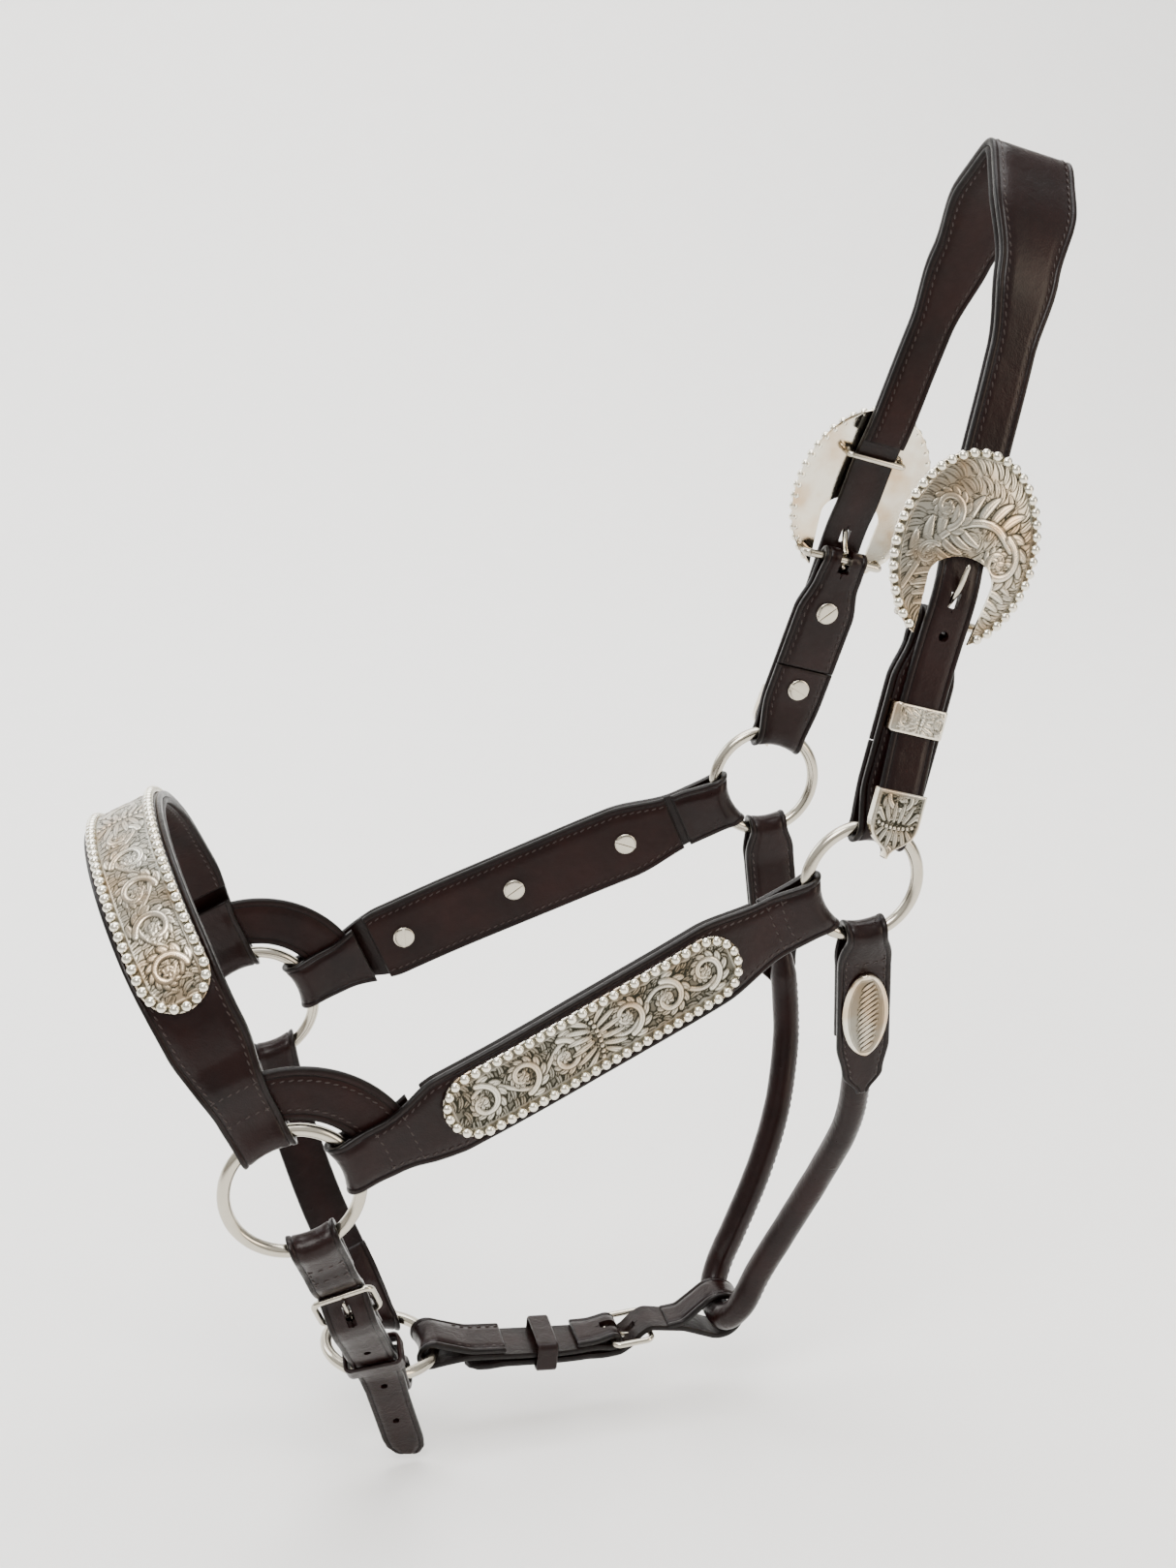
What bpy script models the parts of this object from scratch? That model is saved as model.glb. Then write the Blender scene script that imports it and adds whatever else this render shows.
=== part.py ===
"""A western silver show halter: leather head straps, five metal rings, and engraved silver trim.

Units are metres and +Z is up. The horse would look along -X, so +X runs back to its ears, and its
left side is at -Y. The origin is on the bridge of the nose, under the middle of the noseband.
"""

import math

import bmesh
import bpy
from mathutils import Matrix, Vector

SIDES = (("left", -1.0), ("right", 1.0))

# ---- The rings: each centre is (x, z) at its distance to either side of the middle ----
NOSE_RING_AT = (0.0485, -0.1130)
NOSE_RING_OUT = 0.0810
NOSE_RING_RADIUS = 0.0250
CHEEK_RING_AT = (0.2720, -0.0200)
CHEEK_RING_OUT = 0.0605
CHEEK_RING_RADIUS = 0.0225
CHIN_RING_AT = (0.0875, -0.2390)
CHIN_RING_RADIUS = 0.0230
CHIN_RING_TILT = math.radians(8.0)
WIRE_RADIUS = 0.0025
RING_CLEARANCE = 0.0009
CHIN_RING_CLEARANCE = 0.0018

# ---- Leather ----
STRAP_LEATHER = 0.0026
LINING_LEATHER = 0.0024
GUARD_LEATHER = 0.0030
BILLET_LEATHER = 0.0030
GAP = 0.0003
ROW_SPACING = 0.0125
# A strap lies square to its route past SKEW_FAR, and along the wire that it is folded on before SKEW_NEAR.
SKEW_NEAR = 0.0050
SKEW_FAR = 0.0200

# ---- Noseband ----
# The noseband lies in one plane, which leans from the nose rings to the origin.
NOSEBAND_LEAN = math.atan2(NOSE_RING_AT[0], -NOSE_RING_AT[1])
NOSEBAND_ROUNDNESS = 2.05
NOSEBAND_STRAIGHT = 0.0280
NOSEBAND_WIDTHS = ((0.0, 0.021), (0.014, 0.022), (0.045, 0.030), (0.080, 0.032))
NOSE_PLATE_START = 0.0560
NOSE_SCREW_AT = 0.0720
# Each strap that rests on the head has one flat stretch this long at its middle.
MIDDLE_FLAT = 0.0120

# ---- Cheekpieces ----
CHEEK_WIDTHS = ((0.0, 0.021), (0.014, 0.022), (0.040, 0.033), (0.150, 0.034), (0.180, 0.025), (0.194, 0.023))
CHEEK_PLATE_MIDDLE = 0.0990
CHEEK_PLATE_LENGTH = 0.1260
CHEEK_SCREW_SPACING = 0.0530
PLATE_WIDTH = 0.0270
PLATE_THICKNESS = 0.0012

# ---- Half-moon guards between the noseband and the cheekpieces ----
GUARD_INNER = 0.0292
GUARD_OUTER = 0.0500
GUARD_FROM = math.radians(13.0)
GUARD_TO = math.radians(122.0)

# ---- Crown, hangers and oval buckles, measured from the cheek ring along the crown's line ----
CROWN_LEAN = math.radians(16.3)
CROWN_RISE = 0.2745
SIDE_LEAN = math.radians(7.0)
HEEL_BAR_AT = 0.0810
BUCKLE_MIDDLE = 0.1085
BUCKLE_HALF_LENGTH = 0.0370
BUCKLE_HALF_WIDTH = 0.0290
BUCKLE_DOME = 0.0045
BUCKLE_BACK = 0.0065
BUCKLE_SHEET = 0.0015
BUCKLE_MOUTH_TOP = 0.1060
BUCKLE_MOUTH_WIDE = 0.0134
BUCKLE_MOUTH_NARROW = 0.0108
BACK_BAR_AT = 0.1245
BAR_RADIUS = 0.0013
HEEL_BAR_RADIUS = 0.0017
HANGER_WIDTHS = ((0.0, 0.021), (0.018, 0.026), (0.056, 0.026), (0.072, 0.020), (0.081, 0.019))
HANGER_SCREWS = (0.0220, 0.0580)
# The hanger's two layers stand apart, so that the silver keeper's back wall fits between them.
HANGER_GAP = 0.0016
BILLET_WIDTH = 0.0180
CROWN_WIDTHS = ((0.0, BILLET_WIDTH), (0.185, BILLET_WIDTH), (0.215, 0.0250), (0.245, 0.0350))
BILLET_END = 0.0070
BILLET_HOLE_AT = 0.0780
KEEPER_AT = 0.0430
KEEPER_WALL = 0.0010
KEEPER_HEIGHT = 0.0110
KEEPER_HALF = BILLET_WIDTH / 2.0 + 0.0008

# ---- Chin and gullet straps ----
CHIN_WIDTH = 0.0190
CHIN_FRAME_AT = 0.0690
CHIN_KEEPER_AT = 0.0300
CHIN_TAIL = 0.0360
# How far each chin strap bows out from the straight line between its rings, and forward of it.
CHIN_BOW = {"left": (0.0045, 0.0), "right": (0.0070, 0.0045)}
GULLET_WIDTH = 0.0205
GULLET_FRAME_AT = 0.0780
GULLET_KEEPER_AT = 0.0480
FRAME_HALF = (0.0115, 0.0085)
FRAME_WIRE = 0.0013

# ---- Throat ----
ROLL_RADIUS = 0.0058
ROLL_CLEARANCE = 0.0030
TAB_WIDTH = 0.0220
TAB_LENGTH = 0.0740
TAB_SWING = math.radians(4.5)
TAB_LEAN = math.radians(7.7)
OVAL_AT = 0.0350
OVAL_SIZE = (0.0190, 0.0380)

# ---- Screws ----
SCREW_HEAD_RADIUS = 0.0048
SCREW_POST_RADIUS = 0.0021
SCREW_HOLE_RADIUS = 0.0025
SCREW_HEAD_HEIGHT = 0.0011

COLOURS = {
    "leather": ((0.035, 0.014, 0.010), 0.45, 0.0),
    "lining": ((0.055, 0.020, 0.014), 0.55, 0.0),
    "silver": ((0.80, 0.77, 0.70), 0.28, 1.0),
    "nickel": ((0.66, 0.63, 0.57), 0.22, 1.0),
}

parts = bpy.data.collections.new("show_halter")
cutters = bpy.data.collections.new("cutters")


# ======================================================================== general helpers

def clear_scene():
    for item in list(bpy.data.objects):
        bpy.data.objects.remove(item, do_unlink=True)
    bpy.context.scene.collection.children.link(parts)
    bpy.context.scene.collection.children.link(cutters)


def material(name, finish):
    colour, roughness, metallic = COLOURS[finish]
    result = bpy.data.materials.new(name)
    result.use_nodes = True
    shader = result.node_tree.nodes["Principled BSDF"]
    shader.inputs["Base Color"].default_value = (*colour, 1.0)
    shader.inputs["Roughness"].default_value = roughness
    shader.inputs["Metallic"].default_value = metallic
    result.diffuse_color = (*colour, 1.0)
    return result


def add_part(name, mesh, finish, matrix=Matrix.Identity(4)):
    item = bpy.data.objects.new(name, mesh)
    item.matrix_world = matrix
    mesh.materials.clear()
    mesh.materials.append(material(name, finish))
    parts.objects.link(item)
    return item


def add_cutter(name, mesh, matrix=Matrix.Identity(4)):
    item = bpy.data.objects.new(name, mesh)
    item.matrix_world = matrix
    item.hide_render = True
    item.display_type = "WIRE"
    cutters.objects.link(item)
    return item


def boolean(item, other, operation="DIFFERENCE"):
    change = item.modifiers.new(other.name, "BOOLEAN")
    change.operation = operation
    change.solver = "EXACT"
    change.object = other


def solidify(item, thickness):
    wall = item.modifiers.new("thickness", "SOLIDIFY")
    wall.thickness = thickness
    wall.offset = 0.0


def basis(origin, across, along, out):
    """A placing matrix whose local X, Y and Z are the three directions given."""
    return Matrix((
        (across.x, along.x, out.x, origin.x),
        (across.y, along.y, out.y, origin.y),
        (across.z, along.z, out.z, origin.z),
        (0.0, 0.0, 0.0, 1.0),
    ))


def curve_mesh(name, splines, radius=0.0, extrude=0.0, closed=False, flat=False, sides=1):
    """A bevelled wire, or a filled flat outline with a thickness, turned into a welded mesh."""
    curve = bpy.data.curves.new(name, "CURVE")
    curve.dimensions = "2D" if flat else "3D"
    curve.fill_mode = "BOTH" if flat else "FULL"
    curve.bevel_depth = radius
    curve.bevel_resolution = sides
    curve.extrude = extrude
    curve.use_fill_caps = not flat
    for points in splines:
        spline = curve.splines.new("POLY")
        spline.points.add(len(points) - 1)
        for slot, point in zip(spline.points, points):
            slot.co = (*point, 1.0)
        spline.use_cyclic_u = closed
    holder = bpy.data.objects.new(name, curve)
    bpy.context.scene.collection.objects.link(holder)
    bpy.context.view_layer.update()
    evaluated = holder.evaluated_get(bpy.context.evaluated_depsgraph_get())
    mesh = bpy.data.meshes.new_from_object(evaluated)
    bpy.data.objects.remove(holder, do_unlink=True)
    return welded(mesh)


def welded(mesh):
    work = bmesh.new()
    work.from_mesh(mesh)
    bmesh.ops.remove_doubles(work, verts=work.verts, dist=0.00001)
    bmesh.ops.recalc_face_normals(work, faces=work.faces)
    work.to_mesh(mesh)
    work.free()
    return mesh


def box_mesh(name, size):
    mesh = bpy.data.meshes.new(name)
    work = bmesh.new()
    bmesh.ops.create_cube(work, size=1.0)
    bmesh.ops.scale(work, vec=size, verts=work.verts)
    work.to_mesh(mesh)
    work.free()
    return mesh


def rod_mesh(name, radius, length, sides):
    mesh = bpy.data.meshes.new(name)
    work = bmesh.new()
    bmesh.ops.create_cone(
        work, cap_ends=True, segments=sides, radius1=radius, radius2=radius, depth=length
    )
    work.to_mesh(mesh)
    work.free()
    return mesh


def rounded_outline(half_x, half_y, corner, steps=3):
    """A rectangle with round corners, as points in order round it."""
    points = []
    for quarter in range(4):
        turn = quarter * math.pi / 2.0
        sign_x = 1.0 if quarter in (0, 3) else -1.0
        sign_y = 1.0 if quarter in (0, 1) else -1.0
        centre = (sign_x * (half_x - corner), sign_y * (half_y - corner))
        for step in range(steps + 1):
            angle = turn + step / steps * math.pi / 2.0
            points.append((centre[0] + corner * math.cos(angle), centre[1] + corner * math.sin(angle), 0.0))
    return points


def ellipse(half_x, half_y, count):
    turns = [step * 2.0 * math.pi / count for step in range(count)]
    return [(half_x * math.cos(turn), half_y * math.sin(turn), 0.0) for turn in turns]


# ======================================================================== routes and straps

def smooth_line(points, steps=10):
    """A Catmull-Rom line through the points, as a dense list."""
    ends = [points[0] * 2.0 - points[1]] + list(points) + [points[-1] * 2.0 - points[-2]]
    line = []
    for index in range(1, len(ends) - 2):
        before, start, end, after = ends[index - 1:index + 3]
        for step in range(steps):
            t = step / steps
            line.append(0.5 * (
                2.0 * start + (end - before) * t
                + (2.0 * before - 5.0 * start + 4.0 * end - after) * t ** 2
                + (3.0 * start - before - 3.0 * end + after) * t ** 3
            ))
    line.append(points[-1].copy())
    return line


class Route:
    """The line that a strap follows, read by distance, with its width direction and outer side."""

    def __init__(self, points, across_start, across_end=None, flip=False):
        self.line = smooth_line([Vector(point) for point in points])
        self.distances = [0.0]
        for start, end in zip(self.line, self.line[1:]):
            self.distances.append(self.distances[-1] + (end - start).length)
        self.length = self.distances[-1]
        self.across_start = Vector(across_start)
        self.across_end = Vector(across_end or across_start)
        self.flip = flip

    def point(self, distance):
        if distance <= 0.0:
            return self.line[0] + (self.line[1] - self.line[0]).normalized() * distance
        if distance >= self.length:
            last = (self.line[-1] - self.line[-2]).normalized()
            return self.line[-1] + last * (distance - self.length)
        index = next(i for i, reached in enumerate(self.distances) if reached >= distance)
        index = max(index, 1)
        start, end = self.distances[index - 1], self.distances[index]
        return self.line[index - 1].lerp(self.line[index], (distance - start) / (end - start))

    def frame(self, distance):
        """Point, along, across and outward directions at a distance from the start."""
        reach = 0.004
        along = (self.point(distance + reach) - self.point(distance - reach)).normalized()
        part = min(max(distance / self.length, 0.0), 1.0)
        across = self.across_start.lerp(self.across_end, part).normalized()
        square = (across - along * across.dot(along)).normalized()
        inside = (min(distance, self.length - distance) - SKEW_NEAR) / (SKEW_FAR - SKEW_NEAR)
        across = across.lerp(square, min(max(inside, 0.0), 1.0)).normalized()
        out = across.cross(along) if not self.flip else along.cross(across)
        return self.point(distance), along, across, out.normalized()

    def place(self, distance, height=0.0):
        """A placing matrix on the route: local Y along it and local Z out of it."""
        point, along, _, out = self.frame(distance)
        return basis(point + out * height, along.cross(out), along, out)


def width_at(widths, distance):
    """A width read from (distance, width) pairs, eased between them."""
    if distance <= widths[0][0]:
        return widths[0][1]
    for (start, width_a), (end, width_b) in zip(widths, widths[1:]):
        if distance <= end:
            t = (distance - start) / (end - start)
            return width_a + (width_b - width_a) * t * t * (3.0 - 2.0 * t)
    return widths[-1][1]


def mirrored_widths(widths, length):
    """The same widths met again from the far end of a symmetric strap."""
    return tuple(widths) + tuple((length - at, width) for at, width in reversed(widths))


def flat_middle(inset, length, height):
    """Side outline of a plain layer whose middle stretch is one flat facet."""
    half = MIDDLE_FLAT / 2.0
    return [(at, height) for at in (inset, length / 2.0 - half, length / 2.0 + half, length - inset)]


def fold(at, facing, bar, layers, back, slack=RING_CLEARANCE, leather=STRAP_LEATHER, steps=8):
    """Side outline of a strap end turned round a bar, from its turned-back end to its outer layer.

    layers lists (distance from the bar, height of both layers); facing is +1 at the strap's start.
    """
    radius = bar + slack + leather / 2.0
    lead = math.radians(25.0)
    inner = [(at + facing * back, -layers[-1][1] if back > layers[-1][0] else -layers[0][1])]
    inner += [(at + facing * run, -height) for run, height in reversed(layers) if run < back]
    turn = []
    for step in range(steps + 1):
        angle = -(math.pi / 2.0 + lead) + step / steps * (math.pi + 2.0 * lead)
        turn.append((at - facing * radius * math.cos(angle), radius * math.sin(angle)))
    outer = [(at + facing * run, height) for run, height in layers]
    return inner + turn + outer


def filled_in(outline, spacing=ROW_SPACING):
    """The outline with extra points, so that no straight run is longer than the spacing."""
    result = [outline[0]]
    for (s0, h0), (s1, h1) in zip(outline, outline[1:]):
        count = max(1, math.ceil(abs(s1 - s0) / spacing))
        for step in range(1, count + 1):
            result.append((s0 + (s1 - s0) * step / count, h0 + (h1 - h0) * step / count))
    return result


def strap(name, route, outline, widths, leather=STRAP_LEATHER, columns=2, hugs=(), finish="leather"):
    """A leather strap: its side outline carried along the route, then given its thickness.

    hugs lists (distance, ring centre, ring radius) where the strap's fold bends with a ring's wire.
    """
    work = bmesh.new()
    rows = []
    for distance, height in filled_in(outline):
        point, along, across, out = route.frame(distance)
        half = width_at(widths, distance) / 2.0
        row = []
        for column in range(columns + 1):
            side = -half + 2.0 * half * column / columns
            place = point + across * side + out * height
            for at, centre, ring in hugs:
                near = 1.0 - min(max((abs(distance - at) - 0.006) / 0.012, 0.0), 1.0)
                toward = (centre - route.point(at)).normalized()
                place += toward * near * (ring - math.sqrt(ring ** 2 - side ** 2))
            row.append(work.verts.new(place))
        rows.append(row)
    for row_a, row_b in zip(rows, rows[1:]):
        for column in range(columns):
            work.faces.new((row_a[column], row_a[column + 1], row_b[column + 1], row_b[column]))
    mesh = bpy.data.meshes.new(name)
    work.to_mesh(mesh)
    work.free()
    item = add_part(name, mesh, finish)
    solidify(item, leather)
    return item


def round_end(length, width, steps=3):
    """Widths that close a strip of this length with half-round ends."""
    radius = width / 2.0
    rise = []
    for step in range(1, steps + 1):
        angle = step / steps * math.pi / 2.0
        rise.append((radius * (1.0 - math.cos(angle)), 2.0 * radius * math.sin(angle)))
    rise.insert(0, (0.0, 2.0 * radius * 0.25))
    return tuple(rise) + tuple((length - at, w) for at, w in reversed(rise))


def hole(item, matrix, radius, depth=0.02, sides=8):
    turned = matrix @ Matrix.Rotation(0.2, 4, "Z")
    cutter = add_cutter(item.name + "_hole", rod_mesh("hole", radius, depth, sides), turned)
    boolean(item, cutter)


def slot(item, matrix, size):
    cutter = add_cutter(item.name + "_slot", box_mesh("slot", size), matrix)
    boolean(item, cutter)


# ======================================================================== rings

def ring(name, centre, radius, tilt=0.0):
    """A round ring of wire. Its own axis is local Z, which lies along Y on an upright ring."""
    bpy.ops.mesh.primitive_torus_add(
        major_radius=radius, minor_radius=WIRE_RADIUS, major_segments=24, minor_segments=7
    )
    mesh = bpy.context.object.data
    bpy.data.objects.remove(bpy.context.object, do_unlink=True)
    flat = Matrix.Rotation(tilt, 4, "Y")
    upright = Matrix.Rotation(math.pi / 2.0, 4, "X")
    turn = flat if tilt else upright
    item = add_part(name, mesh, "nickel", Matrix.Translation(centre) @ turn)
    mesh.shade_smooth()
    return item


def nose_ring_centre(sign):
    return Vector((NOSE_RING_AT[0], sign * NOSE_RING_OUT, NOSE_RING_AT[1]))


def cheek_ring_centre(sign):
    return Vector((CHEEK_RING_AT[0], sign * CHEEK_RING_OUT, CHEEK_RING_AT[1]))


def chin_ring_centre():
    return Vector((CHIN_RING_AT[0], 0.0, CHIN_RING_AT[1]))


def make_rings():
    for side, sign in SIDES:
        ring("nose_ring_" + side, nose_ring_centre(sign), NOSE_RING_RADIUS)
        ring("cheek_ring_" + side, cheek_ring_centre(sign), CHEEK_RING_RADIUS)
    ring("chin_ring", chin_ring_centre(), CHIN_RING_RADIUS, CHIN_RING_TILT)


# ======================================================================== plates and screws

def plate(name, route, start, end, height, width, finish="silver", leather=PLATE_THICKNESS):
    """A long silver plate with round ends that lies along a strap."""
    length = end - start
    ends = round_end(length, width)
    stations = [start + at for at, _ in ends[:len(ends) // 2]]
    stations += [end - at for at, _ in reversed(ends[:len(ends) // 2])]
    outline = [(station, height) for station in stations]
    widths = tuple((start + at, w) for at, w in ends)
    return strap(name, route, outline, widths, leather, 2, (), finish)


def screw_mesh(inner, outer, back_head):
    """A two-part strap screw as one turned piece, along local Z from its slotted head outwards."""
    head = SCREW_HEAD_RADIUS
    post = SCREW_POST_RADIUS
    profile = [(0.0, outer)]
    if back_head:
        profile += [(head, outer), (head, outer - SCREW_HEAD_HEIGHT), (post, outer - SCREW_HEAD_HEIGHT)]
    else:
        profile += [(post, outer)]
    profile += [(post, inner), (head, inner), (head, inner - SCREW_HEAD_HEIGHT), (0.0, inner - SCREW_HEAD_HEIGHT)]
    work = bmesh.new()
    verts = [work.verts.new((x, 0.0, z)) for x, z in profile]
    edges = [work.edges.new(pair) for pair in zip(verts, verts[1:])]
    bmesh.ops.spin(
        work, geom=verts + edges, cent=(0.0, 0.0, 0.0), axis=(0.0, 0.0, 1.0), angle=2.0 * math.pi, steps=8
    )
    mesh = bpy.data.meshes.new("screw")
    work.to_mesh(mesh)
    work.free()
    return welded(mesh)


def screw(name, route, distance, inner, outer, layers, back_head=False):
    """A screw through the strap layers given, with the hole that it needs in each."""
    place = route.place(distance)
    add_part(name, screw_mesh(inner, outer, back_head), "nickel", place)
    for layer in layers:
        hole(layer, place, SCREW_HOLE_RADIUS)


# ======================================================================== noseband and cheekpieces

LAYER = (STRAP_LEATHER + GAP) / 2.0
GUARD_LAYER = GUARD_LEATHER / 2.0 + GAP + STRAP_LEATHER / 2.0
GUARD_END = GUARD_OUTER - NOSE_RING_RADIUS
GUARDED = ((0.008, GUARD_LAYER), (GUARD_END + 0.001, GUARD_LAYER), (GUARD_END + 0.010, LAYER))
PLAIN = ((0.014, LAYER),)
OUTER_FACE = LAYER + STRAP_LEATHER / 2.0
HANGER_LAYER = (STRAP_LEATHER + HANGER_GAP) / 2.0
HANGER_FACE = HANGER_LAYER + STRAP_LEATHER / 2.0
LINING_HEIGHT = LAYER - STRAP_LEATHER / 2.0 - GAP - LINING_LEATHER / 2.0
LINING_FACE = LINING_HEIGHT - LINING_LEATHER / 2.0
PLATE_HEIGHT = OUTER_FACE + GAP + PLATE_THICKNESS / 2.0


def noseband_route():
    """From the left nose ring's wire over the nose to the right one, in one leaning plane."""
    up = Vector((-math.sin(NOSEBAND_LEAN), 0.0, math.cos(NOSEBAND_LEAN)))
    across = Vector((math.cos(NOSEBAND_LEAN), 0.0, math.sin(NOSEBAND_LEAN)))
    base = Vector((NOSE_RING_AT[0], 0.0, NOSE_RING_AT[1]))
    straight = NOSE_RING_RADIUS + NOSEBAND_STRAIGHT
    top = math.hypot(*NOSE_RING_AT) - LINING_FACE
    points = []
    for rise in (NOSE_RING_RADIUS, NOSE_RING_RADIUS + 0.014):
        points.append(base + up * rise + Vector((0.0, -NOSE_RING_OUT, 0.0)))
    for step in range(9):
        angle = step * math.pi / 8.0
        side = math.copysign(abs(math.cos(angle)) ** (2.0 / NOSEBAND_ROUNDNESS), math.cos(angle))
        height = math.sin(angle) ** (2.0 / NOSEBAND_ROUNDNESS)
        offset = Vector((0.0, -NOSE_RING_OUT * side, 0.0))
        points.append(base + up * (straight + (top - straight) * height) + offset)
    for rise in (NOSE_RING_RADIUS + 0.014, NOSE_RING_RADIUS):
        points.append(base + up * rise + Vector((0.0, NOSE_RING_OUT, 0.0)))
    return Route(points, across, flip=False)


def make_noseband():
    route = noseband_route()
    length = route.length
    widths = mirrored_widths(NOSEBAND_WIDTHS, length)
    near = fold(0.0, 1.0, WIRE_RADIUS, GUARDED, GUARD_END + 0.002)
    far = fold(length, -1.0, WIRE_RADIUS, GUARDED, GUARD_END + 0.002)
    hugs = ((0.0, nose_ring_centre(-1.0), NOSE_RING_RADIUS), (length, nose_ring_centre(1.0), NOSE_RING_RADIUS))
    outer = strap("noseband_strap", route, near + far[::-1], widths, hugs=hugs)
    inset = GUARD_END + 0.008
    spans = flat_middle(inset, length, LINING_HEIGHT)
    lining = strap("noseband_lining", route, spans, widths, LINING_LEATHER, 1, (), "lining")
    plate("nose_plate", route, NOSE_PLATE_START, length - NOSE_PLATE_START, PLATE_HEIGHT, PLATE_WIDTH)
    for side, at in (("left", NOSE_SCREW_AT), ("right", length - NOSE_SCREW_AT)):
        screw("nose_screw_" + side, route, at, LINING_FACE - 2.0 * GAP, OUTER_FACE, (outer, lining))


def guard(side, sign):
    """The half-moon of leather that joins the noseband to the cheekpiece behind the nose ring."""
    steps = 9
    turns = [GUARD_FROM + (GUARD_TO - GUARD_FROM) * step / steps for step in range(steps + 1)]
    outline = [(GUARD_OUTER * math.cos(turn), GUARD_OUTER * math.sin(turn), 0.0) for turn in turns]
    outline += [(GUARD_INNER * math.cos(turn), GUARD_INNER * math.sin(turn), 0.0) for turn in turns[::-1]]
    mesh = curve_mesh("ring_guard", [outline], extrude=GUARD_LEATHER / 2.0, closed=True, flat=True)
    x, z = NOSE_RING_AT
    place = Matrix.Translation((x, sign * NOSE_RING_OUT, z)) @ Matrix.Rotation(math.pi / 2.0, 4, "X")
    add_part("ring_guard_" + side, mesh, "leather", place)


def cheek_line():
    """Unit direction from the nose ring up to the cheek ring, in (x, z)."""
    run = CHEEK_RING_AT[0] - NOSE_RING_AT[0]
    rise = CHEEK_RING_AT[1] - NOSE_RING_AT[1]
    length = math.hypot(run, rise)
    return Vector((run / length, 0.0, rise / length)), length


def cheek_route(sign):
    """From the nose ring's wire to the cheek ring's, level with each ring at its ends."""
    along, length = cheek_line()
    across = Vector((-along.z, 0.0, along.x))
    base = Vector((NOSE_RING_AT[0], 0.0, NOSE_RING_AT[1]))
    stations = (
        (NOSE_RING_RADIUS, NOSE_RING_OUT),
        (GUARD_OUTER + 0.004, NOSE_RING_OUT),
        (0.090, NOSE_RING_OUT - 0.0025),
        (0.125, NOSE_RING_OUT - 0.0070),
        (0.165, NOSE_RING_OUT - 0.0125),
        (0.198, CHEEK_RING_OUT + 0.0020),
        (length - CHEEK_RING_RADIUS, CHEEK_RING_OUT),
    )
    points = [base + along * run + Vector((0.0, sign * out, 0.0)) for run, out in stations]
    return Route(points, across, flip=sign < 0.0)


def make_cheekpiece(side, sign):
    route = cheek_route(sign)
    length = route.length
    front = fold(0.0, 1.0, WIRE_RADIUS, GUARDED, GUARD_END + 0.002)
    rear = fold(length, -1.0, WIRE_RADIUS, PLAIN, 0.018)
    hugs = ((0.0, nose_ring_centre(sign), NOSE_RING_RADIUS), (length, cheek_ring_centre(sign), CHEEK_RING_RADIUS))
    outer = strap("cheek_strap_" + side, route, front + rear[::-1], CHEEK_WIDTHS, hugs=hugs)
    spans = [(GUARD_END + 0.008, LINING_HEIGHT), (length - 0.021, LINING_HEIGHT)]
    lining = strap("cheek_lining_" + side, route, spans, CHEEK_WIDTHS, LINING_LEATHER, 1, (), "lining")
    start = CHEEK_PLATE_MIDDLE - CHEEK_PLATE_LENGTH / 2.0
    plate("cheek_plate_" + side, route, start, start + CHEEK_PLATE_LENGTH, PLATE_HEIGHT, PLATE_WIDTH)
    for index in range(3):
        at = CHEEK_PLATE_MIDDLE + (index - 1) * CHEEK_SCREW_SPACING
        name = "cheek_screw_%s_%d" % (side, index + 1)
        screw(name, route, at, LINING_FACE - GAP, OUTER_FACE, (outer, lining))


# ======================================================================== crown

def crown_axes(sign):
    """Directions at one side of the crown: up along the hanger, and out from the head."""
    up = Vector((math.sin(CROWN_LEAN), 0.0, math.cos(CROWN_LEAN)))
    side = Vector((0.0, sign, 0.0))
    along = up * math.cos(SIDE_LEAN) - side * math.sin(SIDE_LEAN)
    out = side * math.cos(SIDE_LEAN) + up * math.sin(SIDE_LEAN)
    return along, out


def crown_wire(sign):
    """The point of the cheek ring's wire that the hanger goes round."""
    up = Vector((math.sin(CROWN_LEAN), 0.0, math.cos(CROWN_LEAN)))
    centre = Vector((CHEEK_RING_AT[0], sign * CHEEK_RING_OUT, CHEEK_RING_AT[1]))
    return centre + up * CHEEK_RING_RADIUS


def crown_across():
    return Vector((math.cos(CROWN_LEAN), 0.0, -math.sin(CROWN_LEAN)))


def side_place(sign, along_by, out_by):
    """A placing matrix on one side of the crown, at a distance up the hanger and out from it."""
    along, out = crown_axes(sign)
    point = crown_wire(sign) + along * along_by + out * out_by
    across = crown_across() * -sign
    return basis(point, across, along, out)


def hanger_route(sign):
    along, _ = crown_axes(sign)
    start = crown_wire(sign)
    points = [start + along * HEEL_BAR_AT * step / 4.0 for step in range(5)]
    return Route(points, crown_across(), flip=sign > 0.0)


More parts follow.
